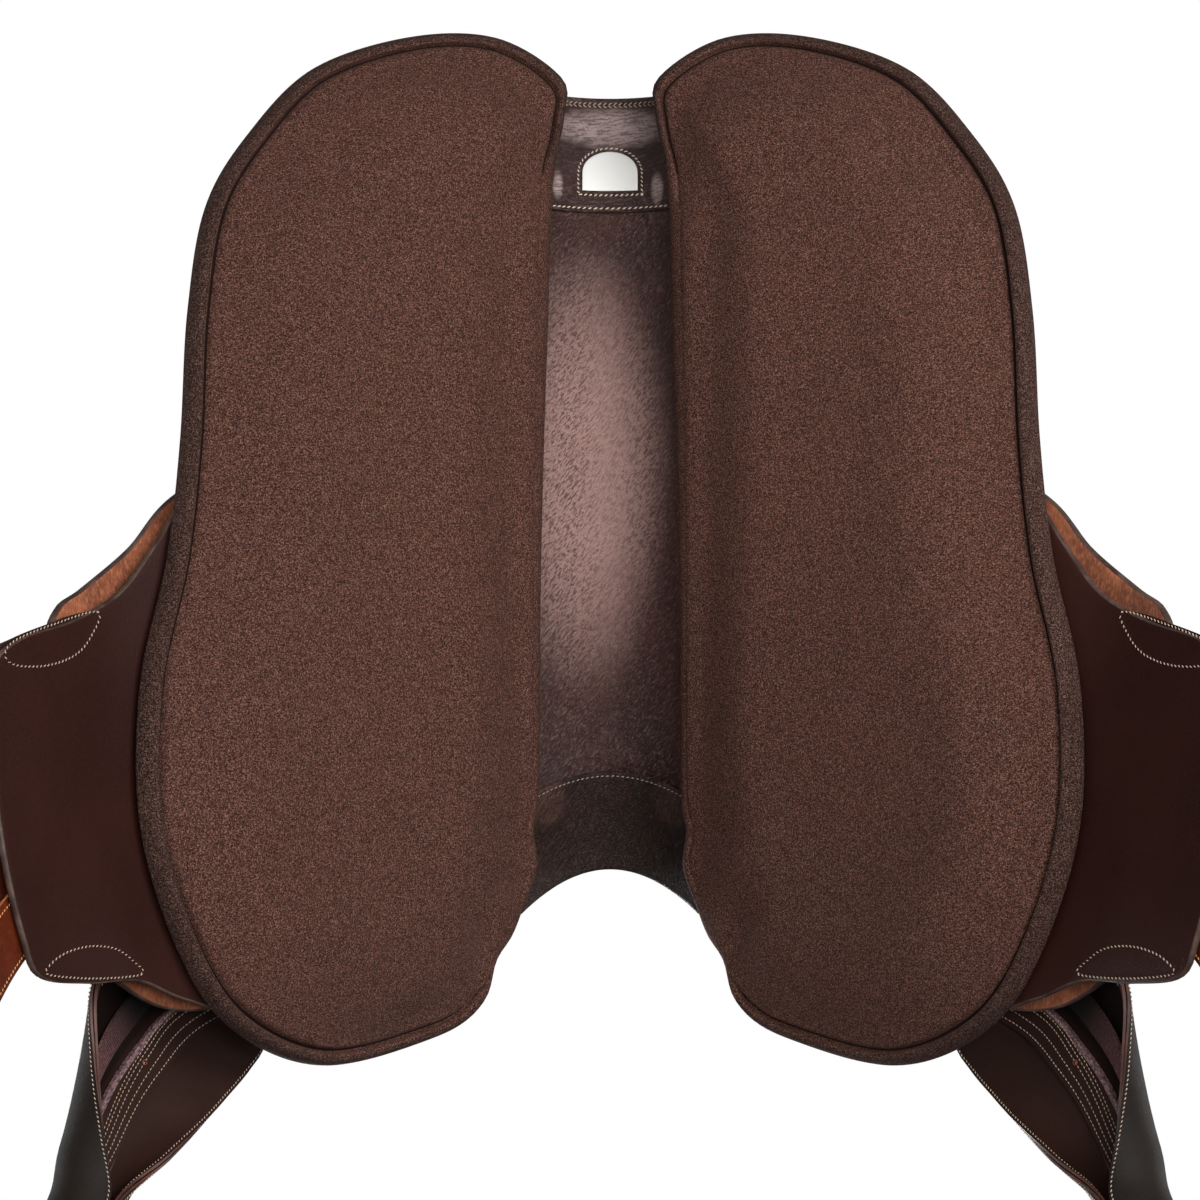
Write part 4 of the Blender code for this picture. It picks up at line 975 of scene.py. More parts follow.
def buildGullet():
    g = gullet
    lift = -g["thickness"] - g["gap"]
    front = g["frontFacing"]
    lining = acrossPiece("gulletLining", 220, 60, (g["liningFront"], g["liningRear"]), (0, 0),
                         g["halfWidth"], 0.0, g["thickness"], "lining", liningWrinkle)
    facing = acrossPiece("frontFacingDressed", 60, 60, front[:2], front[2:], g["halfWidth"], lift,
                         g["thickness"], "facing", frontWrinkle)
    rear = acrossPiece("rearFacingDressed", 80, 70, g["rearFacing"], (0, 0), g["halfWidth"] * g["rearWidth"],
                       lift, g["thickness"], "rearLining", rearWrinkle)
    for piece, node, slot in ((lining, "gullet_lining", "lining"), (facing, "front_facing", "leather"),
                              (rear, "rear_facing", "lining")):
        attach(piece, "seat")
        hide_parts(node)

    def sewAcross(y, reach, bow, wrinkle, **look):
        line = []
        for k in range(61):
            x = reach * (2.0 * k / 60 - 1.0)
            place = y - bow * (x / g["halfWidth"]) ** 2
            line.append((x, place, liningZ(x, place) + lift - wrinkle(x, place) - g["threadStand"]))
        stitch("seat", line, [(0.0, 0.0, -1.0)] * 61, **look)

    sewAcross(front[1] - 0.0026, 0.042, front[3], frontWrinkle, **g["frontStitch"])
    sewAcross(g["rearFacing"][0] + 0.0020, 0.040, 0.0, rearWrinkle, **g["rearStitch"])
    for inset, lean in ((0.0032, 0.62), (0.0047, -0.62)):  # zigzag along the rear edge
        sewAcross(g["rearFacing"][1] - inset, 0.036, 0.0, rearWrinkle, lean=lean, **g["zigzag"])


buildGullet()

plate = {
    "width": 0.0290, "length": 0.0225, "centreY": 0.2015, "shoulder": 0.45, "stitchOut": 0.0022,
    "stitch": {"pitch": 0.0027, "length": 0.0023, "radius": 0.00042, "lean": 0.55, "thread": "litThread"},
}


def plateOutline(grow):
    half = plate["width"] / 2 + grow
    foot = -plate["length"] / 2 - grow
    shoulder = plate["length"] * plate["shoulder"] - plate["length"] / 2
    top = plate["length"] / 2 + grow
    outline = [(half * (2 * k / 12 - 1), foot) for k in range(13)]
    outline += [(half, mix(foot, shoulder, k / 5)) for k in range(1, 5)]
    for k in range(25):
        angle = math.pi * k / 24
        outline.append((half * math.cos(angle), shoulder + (top - shoulder) * math.sin(angle)))
    return outline + [(-half, mix(shoulder, foot, k / 5)) for k in range(1, 5)]


def buildPlate():
    lift = -gullet["thickness"] - 2 * gullet["gap"]
    rings = []
    for grow, drop in ((-0.02, 0.0), (-0.008, 0.0), (0.0, 0.0), (0.0, 0.0008), (-0.0004, 0.00115),
                       (-0.0012, 0.00125), (-0.008, 0.00125), (-0.02, 0.00125)):
        ring = []
        for x, along in plateOutline(0.0):
            scale = max(0.0, 1.0 + grow / (plate["width"] / 2))
            y = plate["centreY"] + along * scale
            ring.append((x * scale, y, liningZ(x * scale, y) + lift - drop))
        rings.append(ring)
    made = ringsPiece("blankPlate", rings, [0] * len(rings), ["plate"], 1.0, smoothAngle=40.0)
    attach(made, "seat")
    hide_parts("label_plate")
    grown = plateOutline(plate["stitchOut"])
    line = []
    for x, along in grown + grown[:1]:
        y = plate["centreY"] + along
        stand = gullet["thickness"] + gullet["gap"] + rearWrinkle(x, y) + gullet["threadStand"]
        line.append((x, y, liningZ(x, y) - stand))
    stitch("seat", line, [(0, 0, -1)] * len(line), **plate["stitch"])


buildPlate()
print("gullet made")


# Flaps and blocks

thickness = {
    "sweatFlap": 0.0032, "flap": 0.0038, "flapHeight": 0.0140, "skirt": 0.0038, "block": 0.0085,
    "blockGap": 0.0003, "threadStand": 0.0002, "seamInset": 0.006,
}
sweatFlapCut = {
    "outline": [
        (0.1060, 0.0600), (0.1500, 0.0560), (0.1900, 0.0350), (0.2177, 0.0033), (0.2431, -0.0208),
        (0.2771, -0.0336), (0.3216, -0.0421), (0.3450, -0.0560), (0.3525, -0.0950), (0.3526, -0.1354),
        (0.3456, -0.1702), (0.3360, -0.1876), (0.3003, -0.1944), (0.2613, -0.1979), (0.2312, -0.2096),
        (0.1850, -0.2220), (0.1250, -0.2150), (0.1060, -0.1850), (0.1060, -0.0600)],
    "spine": ((0.225, -0.140), (0.215, -0.060)), "count": 220, "rings": 9,
}
flapCut = {
    "outline": [
        (0.1190, 0.0420), (0.1600, 0.0440), (0.1990, 0.0245), (0.2240, 0.0000), (0.2510, -0.0189),
        (0.2684, -0.0282), (0.2790, -0.0450), (0.2840, -0.0900), (0.2800, -0.1500), (0.2680, -0.1880),
        (0.2500, -0.2052), (0.2237, -0.2167), (0.1850, -0.2180), (0.1400, -0.2080), (0.1190, -0.1900),
        (0.1175, -0.0700)],
    "spine": ((0.195, -0.140), (0.195, -0.040)), "count": 200, "rings": 8,
}
skirtCut = {
    "outline": [
        (0.0880, 0.0100), (0.1080, 0.0000), (0.1260, -0.0260), (0.1400, -0.0620), (0.1470, -0.1050),
        (0.1460, -0.1450), (0.1320, -0.1760), (0.1030, -0.1900), (0.0740, -0.1880), (0.0580, -0.1760),
        (0.0600, -0.1100), (0.0690, -0.0500), (0.0800, -0.0060)],
    "spine": ((0.103, -0.130), (0.098, -0.050)), "count": 150, "rings": 6,
    "heights": [(0.052, 0.0185), (0.062, 0.0200), (0.077, 0.0230), (0.091, 0.0470), (0.110, 0.0540),
                (0.150, 0.0550)],
}
halfMoons = {  # the blocks' outlines and spines
    "thigh": ([(0.2595, -0.0300), (0.2660, -0.0405), (0.2800, -0.0490), (0.3030, -0.0535),
               (0.3270, -0.0530), (0.3345, -0.0485), (0.3250, -0.0420), (0.2900, -0.0345)],
              ((0.288, -0.0425), (0.314, -0.0470))),
    "knee": ([(0.2600, -0.1945), (0.2650, -0.1880), (0.2780, -0.1810), (0.2980, -0.1778),
              (0.3180, -0.1790), (0.3310, -0.1835), (0.3300, -0.1870), (0.2950, -0.1925)],
             ((0.282, -0.1865), (0.314, -0.1850))),
}
halfMoonStitch = {"pitch": 0.0029, "length": 0.0018, "radius": 0.00031, "lean": 0.6}


def buildBlock(name, outline, spine, side, hand):
    edge = closedCurve(outline, 90)
    base = thickness["sweatFlap"] + thickness["blockGap"]
    rings = []
    for inset, share, rise in ((0.0, 1.0, 0.0), (0.0, 0.5, 0.0), (0.0, 0.0, 0.0), (0.0012, 0.0, 0.30),
                               (0.0026, 0.0, 0.60), (0.0042, 0.0, 0.84), (0.0060, 0.0, 0.96),
                               (0.0060, 0.4, 1.0), (0.0060, 1.0, 1.0)):
        height = base + thickness["block"] * rise
        rings.append([onBack(*inward(p, spine, inset, share), height) for p in edge])
    ends = stripFaces([inward(p, spine, 0.0060, 1.0) for p in edge], spine)
    made = ringsPiece(name + "Block_" + hand, rings, [0] * len(rings), ["flap"], side, ends, 60)
    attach(made, "seat")
    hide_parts(name + "_block_" + hand)


def buildFlaps(side, hand):
    over = thickness["threadStand"]
    sweat = sheetPiece("sweatFlap_" + hand, sweatFlapCut, lambda s, y: 0.0,
                       lambda s, y: thickness["sweatFlap"], ["flap", "flap", "edge"], side)
    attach(sweat, "seat")
    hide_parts("sweat_flap_" + hand)
    base = thickness["flapHeight"]
    top = base + thickness["flap"]
    flap = sheetPiece("flap_" + hand + "_dressed", flapCut, lambda s, y: base, lambda s, y: top,
                      ["flap", "tan", "edge"], side)
    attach(flap, "flap_" + hand)
    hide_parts("flap_" + hand)
    rise = skirtCut["heights"]
    skirt = sheetPiece("skirt_" + hand + "_dressed", skirtCut, lambda s, y: through(rise, s),
                       lambda s, y: through(rise, s) + thickness["skirt"], ["seat", "tan", "edge"], side)
    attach(skirt, "skirt_" + hand)
    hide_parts("skirt_" + hand)
    for name, (outline, spine) in halfMoons.items():
        buildBlock(name, outline, spine, side, hand)
        stitchOnBack("seat", outline, -over, side, -1, 120, **halfMoonStitch)
    inset = thickness["seamInset"]
    path = [inward(p, flapCut["spine"], inset) for p in closedCurve(flapCut["outline"], 200)]
    stitchOnBack("flap_" + hand, path, top + over, side, 1, 300)
    path = [inward(p, skirtCut["spine"], inset) for p in closedCurve(skirtCut["outline"], 160)]
    path = path + path[:1]
    line = [onBack(s, y, through(rise, s) + thickness["skirt"] + over) for s, y in path]
    skins = [(onBack(s, y, 0.01) - onBack(s, y)).normalized() for s, y in path]
    stitch("skirt_" + hand, line, skins, side)


for side, hand in sides:
    buildFlaps(side, hand)
print("flaps made")


# Billets

billets = {
    "width": 0.028, "length": 0.375, "thick": 0.0026, "top": 0.118, "rows": 110, "cols": 8, "soft": 0.22,
    "tip": 0.03, "stitchInset": 0.0026, "threadStand": 0.00005, "threadRadius": 0.00026,
    # where each starts, its lean and how it curls, where that begins and over what share, and its height
    "front_billet": (-0.122, 9.0, 36.0, 0.45, 0.30, 0.0045),
    "rear_billet": (-0.086, 11.0, 34.0, 0.42, 0.28, 0.0099),
}


def strapUv(made, grids, place, side):  # how far along and across the strap each point is
    uv = made.data.uv_layers.new(name="strap")
    corners = {}
    for grid in grids:
        for i, row in enumerate(grid):
            for j, point in enumerate(row):
                corners[tuple(round(c, 6) for c in sided(point, side))] = place(i, j)
    for loop in made.data.loops:
        key = tuple(round(c, 6) for c in made.data.vertices[loop.vertex_index].co)
        uv.data[loop.index].uv = corners.get(key, (0.0, 0.1))


def buildBillet(name, side, hand):
    cut = billets
    s, (y, lean, curl, curlFrom, curlRun, h) = cut["top"], cut[name]
    rows, cols, wide = cut["rows"], cut["cols"], cut["width"] / 2
    step = cut["length"] / rows
    over, under, middle = [], [], []
    for i in range(rows + 1):
        t = i / rows
        angle = math.radians(lean + curl * ease((t - curlFrom) / curlRun))
        end = cut["length"] * (1.0 - t)
        half = wide
        if end < half:
            half *= math.sqrt(max(cut["tip"], 1.0 - (1.0 - end / half) ** 2))
        rowOver, rowUnder = [], []
        for j in range(cols + 1):
            k = 2.0 * j / cols - 1.0
            ps, py = s + k * half * math.sin(angle), y + k * half * math.cos(angle)
            soft = cut["thick"] * (cut["soft"] if j in (0, cols) else 0.0)
            rowUnder.append(onBack(ps, py, h + soft))
            rowOver.append(onBack(ps, py, h + cut["thick"] - soft))
        over.append(rowOver)
        under.append(rowUnder)
        middle.append((s, y, angle, half))
        s += step * math.cos(angle)
        y -= step * math.sin(angle)
    surfaceNames = ["billet", "billet", "billetEdge"]
    made = gridPiece(name + "_strap_" + hand, over, under, surfaceNames, side, (0, 1, 2), 50)
    strapUv(made, (over, under),
            lambda i, j: (cut["length"] * (1 - i / rows), (2.0 * j / cols - 1.0) * wide), side)
    body = name + "_" + hand
    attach(made, body)
    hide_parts(body)
    for shift in (-1, 1):
        for face, up in ((h - cut["threadStand"], -1), (h + cut["thick"] + cut["threadStand"], 1)):
            places = []
            for ps, py, angle, half in middle[:-4]:
                out = shift * (half - cut["stitchInset"])
                places.append((ps + out * math.sin(angle), py + out * math.cos(angle)))
            line = [onBack(ps, py, face) for ps, py in places]
            stitch(body, line, skinsAt(places, line, face, up), side, thread="goldThread",
                   radius=cut["threadRadius"])


for side, hand in sides:
    for name in ("front_billet", "rear_billet"):
        buildBillet(name, side, hand)
print("billets made")


# Fender and stirrup leathers

bar = {"s": 0.104, "y": -0.130, "stand": 0.0142, "radius": 0.0043, "frontY": -0.190, "rearY": 0.030}
loopCut = {"width": 0.030, "thick": 0.0033, "clearance": 0.0009, "reach": 0.004, "round": 0.0006, "count": 48}
fenderCut = {
    "tilt": 60.0, "toe": 10.0, "ahead": 45.0, "thick": 0.0040, "stand": 0.033, "length": 0.410,
    "start": -0.006, "dipRadius": 0.125, "dipPower": 1.15, "dipGap": 0.003, "leastArc": 1.002, "rows": 120,
    "cols": 48,
    "front": [(0.0, -0.018), (0.035, -0.019), (0.075, -0.036), (0.104, -0.050), (0.1407, -0.0417),
              (0.1874, -0.0233), (0.2234, -0.0050), (0.250, -0.0060), (0.320, -0.0160), (0.410, -0.0220)],
    "rear": [(0.0, 0.018), (0.035, 0.019), (0.075, 0.038), (0.115, 0.058), (0.1527, 0.0636), (0.181, 0.0438),
             (0.2086, 0.0177), (0.2263, 0.0020), (0.250, 0.0030), (0.320, 0.0140), (0.410, 0.0220)],
    "width": [(0.0, 0.0365), (0.035, 0.0385), (0.075, 0.0750), (0.115, 0.1095), (0.150, 0.1090),
              (0.200, 0.0850), (0.230, 0.0900), (0.320, 0.0860), (0.410, 0.0660)],
    "layerSplit": 0.00008, "soft": 0.0003, "turnedShare": 0.045, "threadStand": 0.0002,
    "stitchInset": 0.0016, "lowerInset": 0.0030, "lowerRunTo": 0.150, "endMargin": 0.005,
}
strapCut = {
    "width": 0.022, "thick": 0.0032, "aside": 0.005, "asideOver": 0.08, "leastWidth": 0.0365,
    "shift": -0.0046, "gap": 0.0009, "soft": 0.0004, "rawShare": 0.14, "threadStand": 0.0001,
    "rowsFrom": 0.02,
    "rows": ((0.0052, -0.0013), (0.0029, -0.0035), (-0.0001, -0.0066), (-0.0065, -0.0100),
             (-0.0125, -0.0132)),
    "drawnFrom": 0.125, "drawnOver": 0.07, "rowStitch": {"radius": 0.00024, "lean": 0.15},
    "tailStart": 0.105, "tailWidth": 0.015, "tailFrom": 0.0170, "tailLift": 0.0010, "tailThick": 0.0026,
    "tailSoft": 0.0005, "hole": (0.153, -0.0025), "holeRadius": 0.0014,
}


def barAxis():
    rear = onBack(bar["s"], bar["rearY"], bar["stand"])
    return (rear - onBack(bar["s"], bar["frontY"], bar["stand"])).normalized()


barCentre = onBack(bar["s"], bar["y"], bar["stand"])


def fenderPlane():
    tilt, toe = math.radians(fenderCut["tilt"]), math.radians(fenderCut["toe"])
    down = Vector((math.cos(tilt), 0.0, -math.sin(tilt)))
    out = Vector((math.sin(toe), math.cos(toe), 0.0)).cross(down).normalized()
    if out.x < 0:
        out = -out
    ahead = down.cross(out).normalized()
    if ahead.y > 0:
        ahead = -ahead
    base = onBack(back["panelReach"] + back["flapBend"], bar["y"], fenderCut["stand"])
    return barCentre + out * out.dot(base - barCentre), down, ahead, out


fenderOrigin, fenderDown, fenderAhead, fenderOut = fenderPlane()


def bowAngle(chord, length):  # half the angle of an arc of this length over this chord
    low, high = 0.0001, math.pi * 0.985
    for _ in range(40):
        middle = (low + high) / 2
        if math.sin(middle) / middle * length > chord:
            low = middle
        else:
            high = middle
    return low


def fenderPoint(a, share, offset):
    cut = fenderCut
    turn = math.radians(cut["ahead"])
    along = fenderDown * math.cos(turn) + fenderAhead * math.sin(turn)
    across = fenderDown * math.sin(turn) - fenderAhead * math.cos(turn)
    start, end = through(cut["front"], a), through(cut["rear"], a)
    chord = end - start
    length = max(through(cut["width"], a), chord * cut["leastArc"])
    half = bowAngle(chord, length)
    radius = length / (2 * half)
    angle = half * (2 * share - 1)
    b = (start + end) / 2 + (radius + offset) * math.sin(angle)
    c = (radius + offset) * math.cos(angle) - radius * math.cos(half)
    between = bar["radius"] + loopCut["clearance"] + loopCut["thick"] + loopCut["reach"] + strapCut["thick"]
    depth = (fenderOrigin - barCentre).length - (between + cut["thick"] / 2 + cut["dipGap"])
    dip = depth * max(0.0, 1.0 - math.hypot(a, b) / cut["dipRadius"]) ** cut["dipPower"]
    return fenderOrigin + along * a + across * b + fenderOut * (c - dip)


def fenderStrip(name, aFrom, rows, cols, shareFrom, shareTo, inner, outer, soft, materials, side):
    over, under = [], []
    for i in range(rows + 1):
        a = mix(aFrom, fenderCut["length"], i / rows)
        rowOver, rowUnder = [], []
        for j in range(cols + 1):
            share = mix(shareFrom(a), shareTo(a), j / cols)
            rounding = soft if j in (0, cols) or i in (0, rows) else 0.0
            rowOver.append(fenderPoint(a, share, outer - rounding))
            rowUnder.append(fenderPoint(a, share, inner + rounding))
        over.append(rowOver)
        under.append(rowUnder)
    made = gridPiece(name, over, under, materials, side, (0, 1, 2), 40)
    strapUv(made, (over, under), lambda i, j: (mix(aFrom, fenderCut["length"], i / rows), j / cols), side)
    return made


def edgeBeyond(made, share):  # the faces past this share of a strip's width show its cut edge
    uv = made.data.uv_layers["strap"].data
    for face in made.data.polygons:
        if min(uv[i].uv[1] for i in face.loop_indices) > share:
            face.material_index = 2


def strapShare(offset):
    def share(a):
        moved = offset - strapCut["aside"] * ease(a / strapCut["asideOver"])
        return 0.5 + moved / max(through(fenderCut["width"], a), strapCut["leastWidth"])
    return share


def buildHole(side, hand, level):  # the rim of the punched hole in the stirrup leather
    a, offset = strapCut["hole"]
    centre = fenderPoint(a, strapShare(offset)(a), level)
    out = (fenderPoint(a, strapShare(offset)(a), level - 0.01) - centre).normalized()
    across = (fenderPoint(a, strapShare(offset + 0.002)(a), level) - centre).normalized()
    along = out.cross(across)
    turns = [k * math.pi / 12 for k in range(24)]
    rings = []
    for radius, rise in ((0.0, -0.0004), (0.62, -0.0004), (0.70, 0.0001), (0.85, 0.00025), (1.0, 0.0001),
                         (1.0, -0.0006), (0.0, -0.0008)):
        size = radius * strapCut["holeRadius"]
        middle = centre + out * rise
        rings.append([middle + (across * math.cos(turn) + along * math.sin(turn)) * size for turn in turns])
    # the hole's floor takes the dark seam colour, as painted shade
    made = ringsPiece("strapHole_" + hand, rings, [1, 1, 0, 0, 0, 0, 0], ["holeRim", "seam"], side,
                      smoothAngle=60)
    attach(made, "fender_" + hand)


def buildFender(side, hand):
    cut = fenderCut
    body = "fender_" + hand
    half = cut["thick"] / 2
    size = (cut["start"], cut["rows"], cut["cols"], lambda a: 0.0, lambda a: 1.0)
    fender = fenderStrip("fender_" + hand + "_dressed", *size, cut["layerSplit"], half, cut["soft"],
                         ["fenderOut", "fenderOut", "edgePink"], side)
    lining = fenderStrip("fenderLining_" + hand, *size, -half, 0.0, cut["soft"],
                         ["fenderLining", "fenderLining", "edgePink"], side)
    edgeBeyond(lining, 1.0 - cut["turnedShare"])  # the turned edge shows beside the stitching
    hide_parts("fender_" + hand)
    inside = -half - strapCut["gap"]
    face = inside - strapCut["thick"]
    wide, shift = strapCut["width"] / 2, strapCut["shift"]
    strap = fenderStrip("stirrupLeather_" + hand, cut["start"], cut["rows"], 8, strapShare(shift - wide),
                        strapShare(shift + wide), face, inside, strapCut["soft"],
                        ["fenderIn", "fenderIn", "strapEdge"], side)
    edgeBeyond(strap, 1.0 - strapCut["rawShare"])  # its raw edge is pale
    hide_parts("stirrup_leather_" + hand)
    under = inside - strapCut["tailLift"]
    near = strapCut["tailFrom"]
    tail = fenderStrip("leatherTail_" + hand, strapCut["tailStart"], 90, 6, strapShare(near),
                       strapShare(near + strapCut["tailWidth"]), under - strapCut["tailThick"], under,
                       strapCut["tailSoft"], ["ribbed", "ribbed", "ribbed"], side)
    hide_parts("leather_tail_" + hand)
    for piece, slot in ((fender, "leather"), (lining, "leather"), (strap, "leather"), (tail, "suede")):
        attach(piece, body)
    buildHole(side, hand, face)

    def run(shareAt, offset, aFrom, aTo, up, **changes):
        line, skins = [], []
        for k in range(121):
            a = mix(aFrom, aTo, k / 120)
            line.append(fenderPoint(a, shareAt(a), offset))
            skins.append((fenderPoint(a, shareAt(a), offset + 0.01) - line[-1]).normalized() * up)
        stitch(body, line, skins, side, **changes)

    def edgeShare(inset, end):
        def share(a):
            away = inset / through(cut["width"], a)
            return 1 - away if end else away
        return share

    stop = cut["length"] - cut["endMargin"]
    over = cut["threadStand"]
    for end in (0, 1):
        inset = cut["stitchInset"] + cut["lowerInset"] * end
        run(edgeShare(inset, end), -half - over, 0.0, cut["lowerRunTo"] if end else stop, -1)
        run(edgeShare(cut["stitchInset"], end), half + over, 0.0, stop, 1)
    for near, far in strapCut["rows"]:  # the rows draw together down the strap
        def drawn(a, near=near, far=far):
            share = ease((a - strapCut["drawnFrom"]) / strapCut["drawnOver"])
            return strapShare(mix(near, far, share))(a)
        run(drawn, face - strapCut["threadStand"], strapCut["rowsFrom"], stop, -1, **strapCut["rowStitch"])


def buildLoop(side, hand):
    axis = barAxis()
    yAxis = fenderOut.cross(axis).normalized()
    zAxis = axis.cross(yAxis)
    place = Matrix.Translation(barCentre) @ Matrix((axis, yAxis, zAxis)).transposed().to_4x4()
    inner = bar["radius"] + loopCut["clearance"]
    outer = inner + loopCut["thick"]
    shoulder = outer - loopCut["round"]
    half = loopCut["width"] / 2
    rings = []
    for along, radius in ((-1, inner), (-1, shoulder), (-0.96, outer), (0.96, outer), (1, shoulder),
                          (1, inner), (-1, inner)):
        ring = []
        for i in range(loopCut["count"]):
            angle = 2.0 * math.pi * (i + 0.5) / loopCut["count"]
            z = radius * math.sin(angle) + (loopCut["reach"] if math.sin(angle) > 0 else 0.0)
            ring.append(place @ Vector((along * half, radius * math.cos(angle), z)))
        rings.append(ring)
    made = ringsPiece("leatherLoop_" + hand, rings, [0] * len(rings), ["fenderIn"], side, smoothAngle=40)
    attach(made, "loop_" + hand)
    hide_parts("leather_loop_" + hand)


for side, hand in sides:
    buildFender(side, hand)
    buildLoop(side, hand)
print("fenders made")


# Seat

seatCut = {
    "edge": [(-0.164, 0.020), (-0.130, 0.040), (-0.060, 0.052), (0.0, 0.070), (0.060, 0.094),
             (0.120, 0.112), (0.180, 0.108), (0.220, 0.080), (0.240, 0.045)],
    "height": [(-0.164, 0.074), (-0.120, 0.066), (-0.030, 0.052), (0.050, 0.056),
               (0.140, mix(0.052, 0.128, 0.38)), (0.205, 0.116), (0.240, 0.128)],
    "edgeHeight": [(-0.164, 0.024), (-0.100, 0.016), (0.0, 0.013), (0.120, 0.030), (0.200, 0.066),
                   (0.240, 0.098)],
    "treeThick": 0.009, "clearance": 0.0024, "wrap": 0.0035, "cover": 0.0028, "gap": 0.0009, "swell": 0.0030,
    "rows": 110, "cols": 56, "roundness": 2.4, "frontInset": 0.004, "rearInset": 0.006, "footStand": 0.0045,
    "skirtShare": 0.28, "wrapSpeed": 1.6, "welt": 0.86, "weltEnds": (0.010, 0.012),
    "crossSeams": (-0.138, 0.196), "crossBow": 0.016, "threadStand": 0.0002, "endRound": 0.07,
}


def treeUnder(x, y):
    lift = seatCut["clearance"]
    return max(liningZ(x, y) + gullet["thickness"] + lift, backZ(abs(x), y) + lift)


def seatHalf(y):
    return onBack(through(seatCut["edge"], y), y).x


def seatTop(y, t):
    edgeZ = treeUnder(seatHalf(y), y) + seatCut["treeThick"] + through(seatCut["edgeHeight"], y)
    return mix(through(seatCut["height"], y), edgeZ, abs(t) ** seatCut["roundness"])


def seatEnd(over, under, end, outward):  # the cover drawn down over the end of foam and tree
    for grid, stand in ((over, seatCut["gap"] + seatCut["cover"]), (under, seatCut["gap"])):
        last = list(grid[end])
        feet = [(x, y, treeUnder(x, y)) for x, y, _ in last]
        for share in (0.0, 0.02, 0.05, 0.09, 0.15, 0.25, 0.37, 0.5, 0.63, 0.75, 0.86, 0.94, 1.0):
            reach = stand * math.sin(math.pi / 2 * min(1.0, (share + 0.01) / seatCut["endRound"]))
            shift = outward * (reach + seatCut["swell"] * math.sin(math.pi * share))
            row = [(a[0], a[1] + shift, mix(a[2], b[2], share)) for a, b in zip(last, feet)]
            grid.insert(0 if end == 0 else len(grid), row)


def buildSeat():
    cut = seatCut
    rows, cols, beyond = cut["rows"], cut["cols"], cut["skirtShare"]
    front, rear = gullet["pommelY"] + cut["frontInset"], gullet["cantleY"] - cut["rearInset"]
    over, under = [], []
    for i in range(rows + 1):
        y = mix(front, rear, i / rows)
        edge = seatHalf(y)
        foot = treeUnder(edge + cut["wrap"], y) + cut["treeThick"] + cut["footStand"]
        top, low = [], []
        for j in range(-cols, cols + 1):
            t = j / cols * (1.0 + beyond)
            if abs(t) <= 1.0:
                x, z = edge * t, seatTop(y, t)
            else:
                fall = (abs(t) - 1.0) / beyond
                reach = cut["wrap"] * math.sin(math.pi / 2 * min(1, fall * cut["wrapSpeed"]))
                x = (1 if t > 0 else -1) * (edge + reach)
                z = mix(seatTop(y, 1.0), foot, fall)
            top.append((x, y, z))
            low.append((x * (1.0 - cut["cover"] / edge), y, z - (cut["cover"] if abs(t) < 1.0 else 0.0)))
        over.append(top)
        under.append(low)
    for end, outward in ((0, -1.0), (-1, 1.0)):
        seatEnd(over, under, end, outward)
    seat = gridPiece("seatLeather", over, under, ["seat", "tan", "edge"], 1.0, (0, 1, 2), 60)
    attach(seat, "seat")
    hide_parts("seat_cover", "seat_foam")
    welt, stand = cut["welt"], cut["threadStand"]
    for side in (1.0, -1.0):  # welt stitching along both sides of the seat
        steps = [mix(front + cut["weltEnds"][0], rear - cut["weltEnds"][1], k / 160) for k in range(161)]
        line = [(seatHalf(y) * welt, y, seatTop(y, welt) + stand) for y in steps]
        stitch("seat", line, [(0, 0, 1)] * len(line), side)
    for y in cut["crossSeams"]:
        line = []
        for k in range(-40, 41):
            t = k / 40 * welt
            x, along = seatHalf(y) * t, y + cut["crossBow"] * (1 - t * t) * (1 if y < 0 else -1)
            line.append((x, along, seatTop(along, x / seatHalf(along)) + stand))
        stitch("seat", line, [(0, 0, 1)] * len(line))


buildSeat()
print("seat made")

for name in ("tree", "gullet_plate", "stirrup_bar_left", "stirrup_bar_right", "bar_catch_left",
             "bar_catch_right"):
    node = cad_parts[name]
    node.data.materials.clear()
    node.data.materials.append(surfaces["shell" if name == "tree" else "steel"])

sewAll()


# Camera, light and floor

studio = {
    "cameraY": -0.0245, "cameraZ": -1.590, "lens": 91.83, "sensor": 36.0, "nearest": 0.01, "sidePixels": 10.0,
    "picturePixels": 1200.0, "ambient": 0.165, "glossy": 0.20, "floorReach": 5.0, "floorLevel": -2.3,
    "floorSeen": 0.85,
    "lamps": {  # place, aim, width along x, width along y, power
        "key": ((-0.95, 0.55, -1.35), (0.02, 0.08, 0.0), 1.3, 0.7, 22.0),
        "sheen": ((-0.33, 0.12, -1.80), (0.0, 0.05, 0.0), 0.8, 0.35, 15.0),
        "under": ((0.45, 0.65, -1.9), (0.0, 0.05, 0.0), 0.9, 0.9, 6.0),
        "leftFill": ((1.5, -0.3, -0.9), (0.0, 0.0, -0.1), 0.9, 0.9, 1.5),
        "top": ((0.6, -0.9, 1.9), (0.0, 0.0, 0.0), 1.2, 1.2, 45.0),
        "sideLeft": ((1.9, -0.1, 0.9), (0.1, 0.0, 0.0), 1.0, 1.0, 12.0),
        "sideRight": ((-1.9, -0.1, 0.9), (-0.1, 0.0, 0.0), 1.0, 1.0, 12.0),
    },
}


def addLight(name, place, aim, wide, high, power):
    lamp = bpy.data.lights.new(name, "AREA")
    lamp.shape = "ELLIPSE"
    lamp.size = wide
    lamp.size_y = high
    lamp.energy = power
    away = (Vector(place) - Vector(aim)).normalized()
    upward = (Vector((0, 1, 0)) - away * away.y).normalized()
    axes = Matrix((upward.cross(away), upward, away)).transposed().to_4x4()
    made = bpy.data.objects.new(name, lamp)
    made.matrix_world = Matrix.Translation(place) @ axes
    bpy.context.scene.collection.objects.link(made)


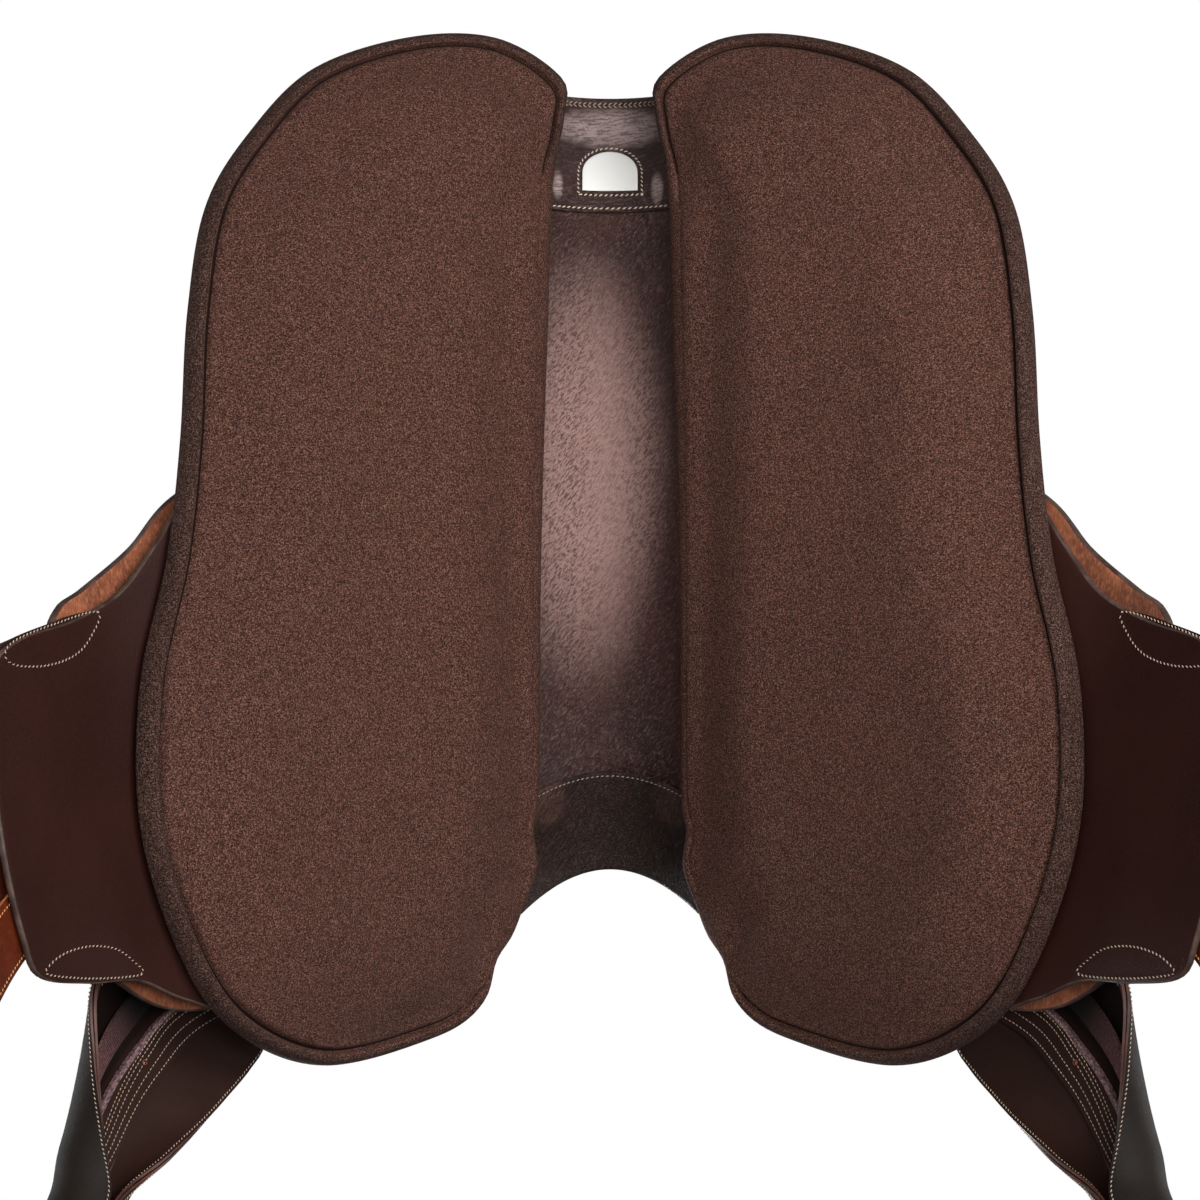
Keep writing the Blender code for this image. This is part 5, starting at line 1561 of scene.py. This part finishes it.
def buildStudio():
    scene = bpy.context.scene
    camera = bpy.data.cameras.new("camera")
    camera.lens = studio["lens"]
    camera.sensor_width = studio["sensor"]
    camera.shift_x = -studio["sidePixels"] / studio["picturePixels"]
    camera.clip_start = studio["nearest"]
    made = bpy.data.objects.new("camera", camera)
    made.location = (0.0, studio["cameraY"], studio["cameraZ"])
    made.rotation_euler = (0.0, math.pi, 0.0)
    scene.collection.objects.link(made)
    scene.camera = made
    for name, lamp in studio["lamps"].items():
        addLight(name, *lamp)

    world = bpy.data.worlds.new("studio")
    world.use_nodes = True
    world.node_tree.nodes.clear()
    tree = Tree(world.node_tree)
    path = world.node_tree.nodes.new("ShaderNodeLightPath")
    seen = Wire(tree, path.outputs["Is Camera Ray"]).most(Wire(tree, path.outputs["Is Transmission Ray"]))
    glossy = Wire(tree, path.outputs["Is Glossy Ray"])
    strength = (seen + glossy * studio["glossy"]).most(studio["ambient"]).least(1.0)
    sky = tree.node("ShaderNodeBackground", {}, {"Color": (1.0, 1.0, 1.0, 1.0), "Strength": strength})
    out = world.node_tree.nodes.new("ShaderNodeOutputWorld")
    world.node_tree.links.new(sky.socket, out.inputs["Surface"])
    scene.world = world

    floorMesh = bpy.data.meshes.new("floor")
    reach, level = studio["floorReach"], studio["floorLevel"]
    corners = [(x * reach, y * reach, level) for x, y in ((-1, -1), (1, -1), (1, 1), (-1, 1))]
    floorMesh.from_pydata(corners, [], [(0, 1, 2, 3)])
    pale = bpy.data.materials.new("pale floor")
    pale.use_nodes = True
    pale.node_tree.nodes.clear()
    tree = Tree(pale.node_tree)
    path = pale.node_tree.nodes.new("ShaderNodeLightPath")
    matt = tree.node("ShaderNodeBsdfDiffuse", {}, {"Color": (0.80, 0.80, 0.79, 1.0)})
    bright = tree.node("ShaderNodeEmission", {}, {"Color": (1, 1, 1, 1), "Strength": 1.0})
    seen = Wire(tree, path.outputs["Is Camera Ray"]) * studio["floorSeen"]
    shown = tree.node("ShaderNodeMixShader", {}, {0: seen, 1: matt, 2: bright})
    out = pale.node_tree.nodes.new("ShaderNodeOutputMaterial")
    pale.node_tree.links.new(shown.socket, out.inputs["Surface"])
    floorMesh.materials.append(pale)
    floor = bpy.data.objects.new("floor", floorMesh)
    scene.collection.objects.link(floor)
    scene.view_settings.view_transform = "Standard"


buildStudio()
print("studio made")
